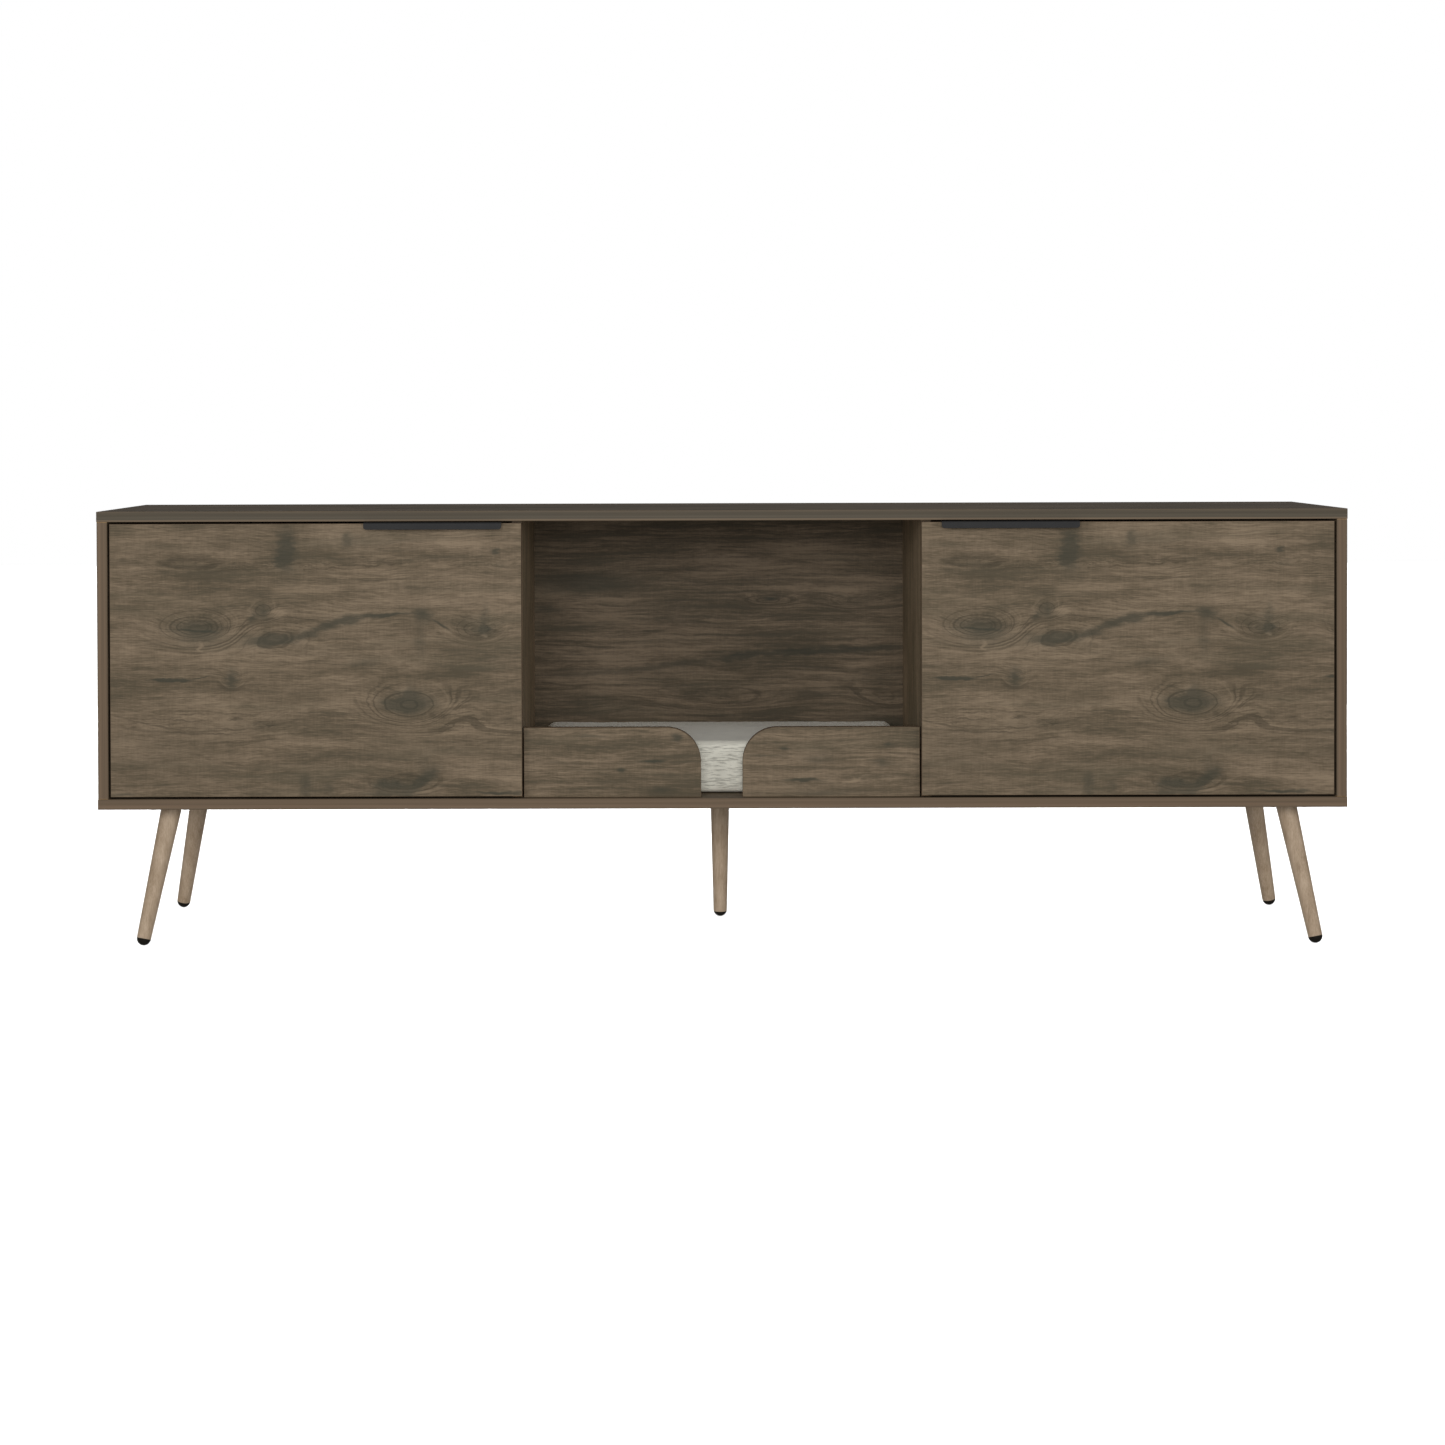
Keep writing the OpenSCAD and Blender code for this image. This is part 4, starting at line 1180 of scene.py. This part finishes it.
@dataclass
class Backs:
    """The three thin backs in their grooves."""

    bench: Bench
    groove: float = 4.5 * MM
    gain: float = 0.95

    def build(self) -> None:
        """Dresses the backs, printed side to the front and plain fibre behind."""
        fibre = ChipFinish("plain_hardboard").material()
        for node, figure, seed in (
            ("centre_back_panel", BACK_FIGURE, 61.0),
            ("left_back_panel", Figure(), 67.0),
            ("right_back_panel", Figure(), 71.0),
        ):
            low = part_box(node)[0]
            origin = (low.x + self.groove, low.y, low.z + self.groove)
            finish = WoodFinish(f"{node}_print", Run.FRONT, origin, figure, seed=seed, gain=self.gain)
            piece = self.bench.copy_of(node, f"{node}_sheet")

            def which(centre: Vector, normal: Vector) -> int:
                """0 for the printed front, 1 for plain fibre."""
                return 0 if normal.y < -0.9 and centre.y < low.y + TOUCH else 1

            self.bench.dress(piece, [finish.material(), fibre], which)
            self.bench.stand_for(piece, "cabinet", "back_board", node)


@dataclass
class Shelves:
    """One shelf in each cupboard, lying on four pins."""

    bench: Bench
    arris: float = 0.8 * MM

    def build(self, raw: bpy.types.Material, zinc: bpy.types.Material) -> None:
        """Builds the shelves and dresses the pins.

        Args:
            raw: Raw chipboard.
            zinc: Zinc plating.
        """
        for side in Side:
            node = f"{side.value}_shelf"
            seed = 81.0 if side is Side.LEFT else 89.0
            face = laminate(node, Run.FLAT, seed=seed)
            band = edging(node, Run.FRONT, seed)
            Board(node, "cabinet", "carcass_wood", 2, face, band, raw, self.arris).build(self.bench)
            self.bench.redress(f"{side.value}_shelf_pins", zinc)


@dataclass
class Doors:
    """The two doors, printed from one figure that starts at another place on each."""

    bench: Bench
    arris: float = 0.6 * MM
    right_figure_start: float = -41 * MM

    def build(self, raw: bpy.types.Material) -> None:
        """Builds both doors.

        Args:
            raw: Raw chipboard for the bores.
        """
        for side in Side:
            node = f"{side.value}_door"
            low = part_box(node)[0]
            start = self.right_figure_start if side is Side.RIGHT else 0.0
            origin = (low.x + start, low.y, low.z)
            finish = WoodFinish(f"{node}_laminate", Run.FRONT, origin, DOOR_FIGURE, seed=5.0)
            band = edging(node, Run.ENDWAYS, 51.0)
            board = Board(node, node, "door_wood", 1, finish.material(), band, raw, self.arris)
            board.build(self.bench)


@dataclass
class Pulls:
    """Bent sheet-metal edge pulls over the doors' top edges."""

    bench: Bench
    bend: float = 2.2 * MM
    edge: float = 0.3 * MM

    def build(self, coat: bpy.types.Material, zinc: bpy.types.Material) -> None:
        """Builds both pulls.

        Args:
            coat: Charcoal powder coat.
            zinc: Zinc plating for their screws.
        """
        for side in Side:
            node = f"{side.value}_pull"
            low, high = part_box(node)
            piece = self.bench.copy_of(node, f"{node}_bent_sheet")

            def outer_bend(first: Vector, second: Vector) -> bool:
                """Whether an edge runs along the pull at its top front or top rear corner.

                Args:
                    first: One end of the edge.
                    second: The other end.

                Returns:
                    True if it does.
                """
                along = abs(first.x - second.x) > 0.5 * (high.x - low.x)
                top = abs(first.z - high.z) < TOUCH and abs(second.z - high.z) < TOUCH
                return along and top

            if self.bench.pick_edges(piece, outer_bend):
                self.bench.bevel_picked(self.bend, 5)
            self.bench.ease_sharp(piece, self.edge, 2)
            self.bench.smooth(piece)
            self.bench.dress(piece, [coat])
            self.bench.stand_for(piece, f"{side.value}_door", "pull_metal", node)
            self.bench.redress(f"{side.value}_pull_screws", zinc)
            LOG.info("built %s", piece.name)


@dataclass
class Hinges:
    """Two concealed cup hinges a door: cups, links, arms, plates, pins and screws."""

    bench: Bench
    edge: float = 0.35 * MM

    def build(self, nickel: bpy.types.Material, zinc: bpy.types.Material) -> None:
        """Rounds the pressed steel parts and dresses the turned ones.

        Args:
            nickel: Nickel plating.
            zinc: Zinc plating.
        """
        pressed = {
            "hinge_cups": "{side}_door",
            "hinge_links": "{side}_hinge_links",
            "hinge_arms": "cabinet",
            "hinge_plates": "cabinet",
        }
        for side in Side:
            for part, body in pressed.items():
                node = f"{side.value}_{part}"
                piece = self.bench.copy_of(node, f"{node}_pressed")
                self.bench.ease_sharp(piece, self.edge, 2, 40.0)
                self.bench.smooth(piece)
                self.bench.dress(piece, [nickel])
                self.bench.stand_for(piece, body.format(side=side.value), "hinge_nickel", node)
                LOG.info("built %s", piece.name)
            for part in ("cup_pins", "arm_pins", "cup_screws", "hinge_screws"):
                self.bench.redress(f"{side.value}_{part}", zinc)


@dataclass
class BedRails:
    """The two low rails with a rounded inner top corner."""

    bench: Bench
    arris: float = 0.7 * MM

    def build(self, raw: bpy.types.Material) -> None:
        """Builds both rails.

        Args:
            raw: Raw chipboard for the screw holes.
        """
        for side, figure, seed in (
            (Side.LEFT, RAIL_FIGURE_LEFT, 101.0),
            (Side.RIGHT, RAIL_FIGURE_RIGHT, 109.0),
        ):
            node = f"{side.value}_bed_rail"
            low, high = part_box(node)
            wood = laminate(node, Run.FRONT, figure, seed=seed)
            band = edging(node, Run.ENDWAYS, seed)
            piece = self.bench.copy_of(node, f"{node}_board")

            def on_face_rim(first: Vector, second: Vector) -> bool:
                """Whether an edge lies in the front or rear face."""
                faces = (low.y, high.y)
                return any(all(abs(end.y - y) < TOUCH for end in (first, second)) for y in faces)

            if self.bench.pick_edges(piece, on_face_rim):
                self.bench.bevel_picked(self.arris, 2)

            def which(centre: Vector, normal: Vector) -> int:
                """0 for the front and rear faces, 1 for edging."""
                return 0 if abs(normal.y) > 0.99 else 1

            self.bench.dress(piece, [wood, band, raw], which)
            self.bench.stand_for(piece, "cabinet", "carcass_wood", node)
            LOG.info("built %s", piece.name)


@dataclass
class Cushion:
    """A foam slab in a brushed fabric cover, plumped by a cloth simulation."""

    bench: Bench
    corner: float = 9 * MM
    plan_corner: float = 15 * MM
    inset: float = 2 * MM
    crown_inset: float = 1 * MM
    rest_inset: float = 0.4 * MM
    voxel: float = 5 * MM
    pressure: float = 4.0
    swell: float = 3.4 * MM
    quality: int = 5
    tension: float = 15.0
    bending: float = 2.0
    frames: int = 20

    def blank(self, low: Vector, high: Vector) -> bpy.types.Object:
        """The slab before it is plumped: a block with rounded corners and edges.

        Args:
            low: The lowest corner of its space.
            high: The highest corner.

        Returns:
            The block.
        """
        bpy.ops.object.select_all(action="DESELECT")
        inner_low = low + Vector((self.inset, self.inset, self.rest_inset))
        inner_high = high - Vector((self.inset, self.inset, self.crown_inset))
        size = inner_high - inner_low
        bpy.ops.mesh.primitive_cube_add(size=1, location=(inner_low + inner_high) / 2, scale=size)
        piece = bpy.context.object
        piece.name = "cushion_slab"
        bpy.ops.object.transform_apply(location=True, rotation=True, scale=True)

        def upright(first: Vector, second: Vector) -> bool:
            """Whether an edge stands up."""
            return abs(first.z - second.z) > 0.5 * size.z

        self.bench.pick_edges(piece, upright)
        self.bench.bevel_picked(self.plan_corner, 6)

        def rim(first: Vector, second: Vector) -> bool:
            """Whether an edge lies in the top or bottom face."""
            return abs(first.z - second.z) < TOUCH

        self.bench.pick_edges(piece, rim)
        self.bench.bevel_picked(self.corner, 4)
        return piece

    def remesh(self, piece: bpy.types.Object) -> None:
        """Gives the slab an even mesh.

        Args:
            piece: The slab.
        """
        self.bench.only(piece)
        bpy.ops.object.modifier_add(type="REMESH")
        even = piece.modifiers[-1]
        even.mode = "VOXEL"
        even.voxel_size = self.voxel
        even.use_smooth_shade = True
        bpy.ops.object.modifier_apply(modifier=even.name)

    def plump(self, piece: bpy.types.Object) -> None:
        """Swells the slab with a cloth simulation and keeps it to its space.

        Args:
            piece: The slab.
        """
        rest = [vertex.co.copy() for vertex in piece.data.vertices]
        middle = sum(start.z for start in rest) / len(rest)
        self.bench.only(piece)
        bpy.ops.object.modifier_add(type="CLOTH")
        cloth = piece.modifiers[-1]
        cloth.settings.use_pressure = True
        cloth.settings.uniform_pressure_force = self.pressure
        cloth.settings.effector_weights.gravity = 0.0
        cloth.settings.quality = self.quality
        cloth.settings.tension_stiffness = self.tension
        cloth.settings.bending_stiffness = self.bending
        scene = bpy.context.scene
        scene.frame_start, scene.frame_end = 1, self.frames
        for step in range(1, self.frames + 1):
            scene.frame_set(step)
        self.bench.only(piece)
        bpy.ops.object.modifier_apply(modifier=cloth.name)
        scene.frame_set(1)
        for vertex, start in zip(piece.data.vertices, rest):
            moved = vertex.co - start
            if start.z < middle:
                moved.z = max(moved.z, 0.0)
            vertex.co = start + moved.normalized() * min(moved.length, self.swell)

    def fit(self, piece: bpy.types.Object, low: Vector, high: Vector) -> None:
        """Keeps every point inside the cushion's space.

        Args:
            piece: The slab.
            low: The lowest corner of its space.
            high: The highest corner.
        """
        for vertex in piece.data.vertices:
            for axis in range(3):
                vertex.co[axis] = min(max(vertex.co[axis], low[axis]), high[axis])

    def build(self, cover: bpy.types.Material) -> None:
        """Builds the cushion.

        Args:
            cover: The cover's fabric.
        """
        low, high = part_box("cushion")
        piece = self.blank(low, high)
        self.remesh(piece)
        self.plump(piece)
        self.fit(piece, low, high)
        self.bench.only(piece)
        bpy.ops.object.modifier_add(type="SUBSURF")
        divide = piece.modifiers[-1]
        divide.levels = divide.render_levels = 1
        bpy.ops.object.modifier_apply(modifier=divide.name)
        self.fit(piece, low, high)
        bpy.ops.object.shade_smooth()
        self.bench.dress(piece, [cover])
        self.bench.stand_for(piece, "cushion", "cushion_fabric", "cushion")
        LOG.info("built %s with %d vertices", piece.name, len(piece.data.vertices))


@dataclass
class Legs:
    """Five tapered oak legs with domed glides, and their plates, bolts and screws."""

    bench: Bench
    places: tuple[str, ...] = ("front_left", "front_right", "rear_left", "rear_right", "centre")

    def build(self, zinc: bpy.types.Material) -> None:
        """Builds the legs and dresses their fittings.

        Args:
            zinc: Zinc plating.
        """
        glide = PlasticFinish("black_glide", srgb(27, 23, 17), 0.6).material()
        for number, place in enumerate(self.places):
            oak = TurnedOakFinish(f"{place}_leg_oak", seed=3.0 + 11 * number).material()
            for node, slot, finish in (
                (f"{place}_leg", "leg_oak", oak),
                (f"{place}_foot_cap", "foot_plastic", glide),
            ):
                piece = self.bench.copy_of(node, f"{node}_turned")
                self.bench.smooth(piece, 30.0)
                self.bench.dress(piece, [finish])
                self.bench.stand_for(piece, "cabinet", slot, node)
                LOG.info("built %s", piece.name)
        for node in ("leg_plates", "leg_bolts", "leg_plate_screws"):
            self.bench.redress(node, zinc)


@dataclass
class Fittings:
    """Dowels, cam fittings, screws and door buffers."""

    bench: Bench

    def build(self, zinc: bpy.types.Material) -> None:
        """Dresses the fittings.

        Args:
            zinc: Zinc plating.
        """
        beech = TurnedOakFinish("beech_dowel", seed=71.0).material()
        soft = PlasticFinish("clear_buffer", srgb(196, 198, 198), 0.3).material()
        self.bench.redress("dowels", beech)
        for node in ("cam_bolts", "cam_locks", "carcass_screws", "bed_rail_screws"):
            self.bench.redress(node, zinc)
        for side in Side:
            self.bench.redress(f"{side.value}_bumpers", soft)


# ------------------------------------------------------------------ studio


@dataclass
class Softbox:
    """One rectangular soft light."""

    name: str
    place: tuple[float, float, float]
    aim: tuple[float, float, float]
    size: tuple[float, float]
    power: float

    def build(self) -> bpy.types.Object:
        """Hangs the light.

        Returns:
            The light.
        """
        data = bpy.data.lights.new(self.name, "AREA")
        data.shape = "RECTANGLE"
        data.size, data.size_y = self.size
        data.energy = self.power
        lamp = bpy.data.objects.new(self.name, data)
        bpy.context.scene.collection.objects.link(lamp)
        lamp.visible_camera = False
        lamp.location = self.place
        lamp.rotation_euler = (Vector(self.aim) - Vector(self.place)).to_track_quat("-Z", "Y").to_euler()
        return lamp


FRONT_LIGHTS = (
    Softbox("key_light", (-0.2, -4.7, 1.25), (0, 0, 0.4), (2.6, 1.5), 78.0),
    Softbox("left_light", (-3.4, -3.6, 1.25), (0, 0, 0.4), (1.6, 1.6), 30.0),
    Softbox("right_light", (3.4, -3.6, 1.25), (0, 0, 0.4), (1.6, 1.6), 30.0),
)
REAR_LIGHT = Softbox("rear_light", (0, 3.6, 0.34), (0, 0, 0.34), (3.4, 0.5), 60.0)
FLOOR_LIGHT = Softbox("floor_light", (0, 0, 8.0), (0, 0, 0), (40, 40), 8000.0)


@dataclass
class Studio:
    """Floor, light and camera."""

    lens: float = 75.13
    shift: tuple[float, float] = (0.0345, -0.16941)
    place: tuple[float, float, float] = (-0.0507, -4.5353, 0.748)
    yaw: float = 0.252
    pitch: float = 0.942
    roll: float = -0.168
    sky: float = 0.27
    floor_size: float = 24.0

    def floor(self) -> None:
        """Lays a plain pale floor with a light of its own, so that it stays an even white."""
        bpy.ops.object.select_all(action="DESELECT")
        bpy.ops.mesh.primitive_plane_add(size=self.floor_size, location=(0, 0, 0))
        floor = bpy.context.object
        floor.name = "studio_floor"
        floor.visible_diffuse = False
        floor.visible_glossy = False
        shader = Shader("studio_floor_paint")
        cloud = shader.noise(shader.place(Run.FLAT, (0, 0, 0)), (900, 900, 900), 2.0)
        shader.finish({
            "Base Color": shader.mix(srgb(247, 247, 247), cloud * 0.01 + 1.0, 1.0, "MULTIPLY"),
            "Roughness": 0.9,
            "Specular IOR Level": 0.1,
        })
        floor.data.materials.append(shader.material)
        group = bpy.data.collections.new("studio_only")
        group.objects.link(floor)
        lamp = FLOOR_LIGHT.build()
        lamp.light_linking.receiver_collection = group
        lamp.light_linking.blocker_collection = group

    def world(self) -> None:
        """Weak light from all round, in front of a white backdrop."""
        world = bpy.data.worlds.new("studio")
        bpy.context.scene.world = world
        world.use_nodes = True
        tree = world.node_tree
        tree.nodes.clear()
        lit, seen = (tree.nodes.new("ShaderNodeBackground") for _ in range(2))
        ray = tree.nodes.new("ShaderNodeLightPath")
        pick = tree.nodes.new("ShaderNodeMixShader")
        out = tree.nodes.new("ShaderNodeOutputWorld")
        for backdrop, strength in ((lit, self.sky), (seen, 1.0)):
            backdrop.inputs["Color"].default_value = (1, 1, 1, 1)
            backdrop.inputs["Strength"].default_value = strength
        tree.links.new(ray.outputs["Is Camera Ray"], pick.inputs[0])
        tree.links.new(lit.outputs[0], pick.inputs[1])
        tree.links.new(seen.outputs[0], pick.inputs[2])
        tree.links.new(pick.outputs[0], out.inputs[0])

    def lights(self) -> None:
        """Hangs the soft lights round the front, and a low one behind that only lights the back."""
        for light in FRONT_LIGHTS:
            light.build()
        REAR_LIGHT.build().visible_glossy = False

    def camera(self) -> None:
        """Sets the camera."""
        data = bpy.data.cameras.new("view")
        data.sensor_width = 36.0
        data.lens = self.lens
        data.shift_x, data.shift_y = self.shift
        data.clip_end = 100.0
        camera = bpy.data.objects.new("view", data)
        bpy.context.scene.collection.objects.link(camera)
        turn = (
            Matrix.Rotation(math.radians(self.yaw), 4, "Z")
            @ Matrix.Rotation(math.radians(90 - self.pitch), 4, "X")
            @ Matrix.Rotation(math.radians(self.roll), 4, "Z")
        )
        camera.matrix_world = Matrix.Translation(self.place) @ turn
        bpy.context.scene.camera = camera

    def build(self) -> None:
        """Sets up the whole studio."""
        self.world()
        self.floor()
        self.lights()
        self.camera()
        view = bpy.context.scene.view_settings
        view.view_transform = "Standard"
        view.look = "None"
        LOG.info("studio ready")


def main() -> None:
    """Builds and dresses the whole stand."""
    logging.basicConfig(level=logging.INFO, format="%(message)s")
    bench = Bench()
    raw = ChipFinish().material()
    zinc, nickel, coat = (metal.material() for metal in (ZINC, NICKEL, CHARCOAL))
    Carcass(bench).build(raw)
    Backs(bench).build()
    Shelves(bench).build(raw, zinc)
    Doors(bench).build(raw)
    Pulls(bench).build(coat, zinc)
    Hinges(bench).build(nickel, zinc)
    BedRails(bench).build(raw)
    Legs(bench).build(zinc)
    Fittings(bench).build(zinc)
    Cushion(bench).build(FabricFinish().material())
    Studio().build()


if __name__ == "__main__":
    main()
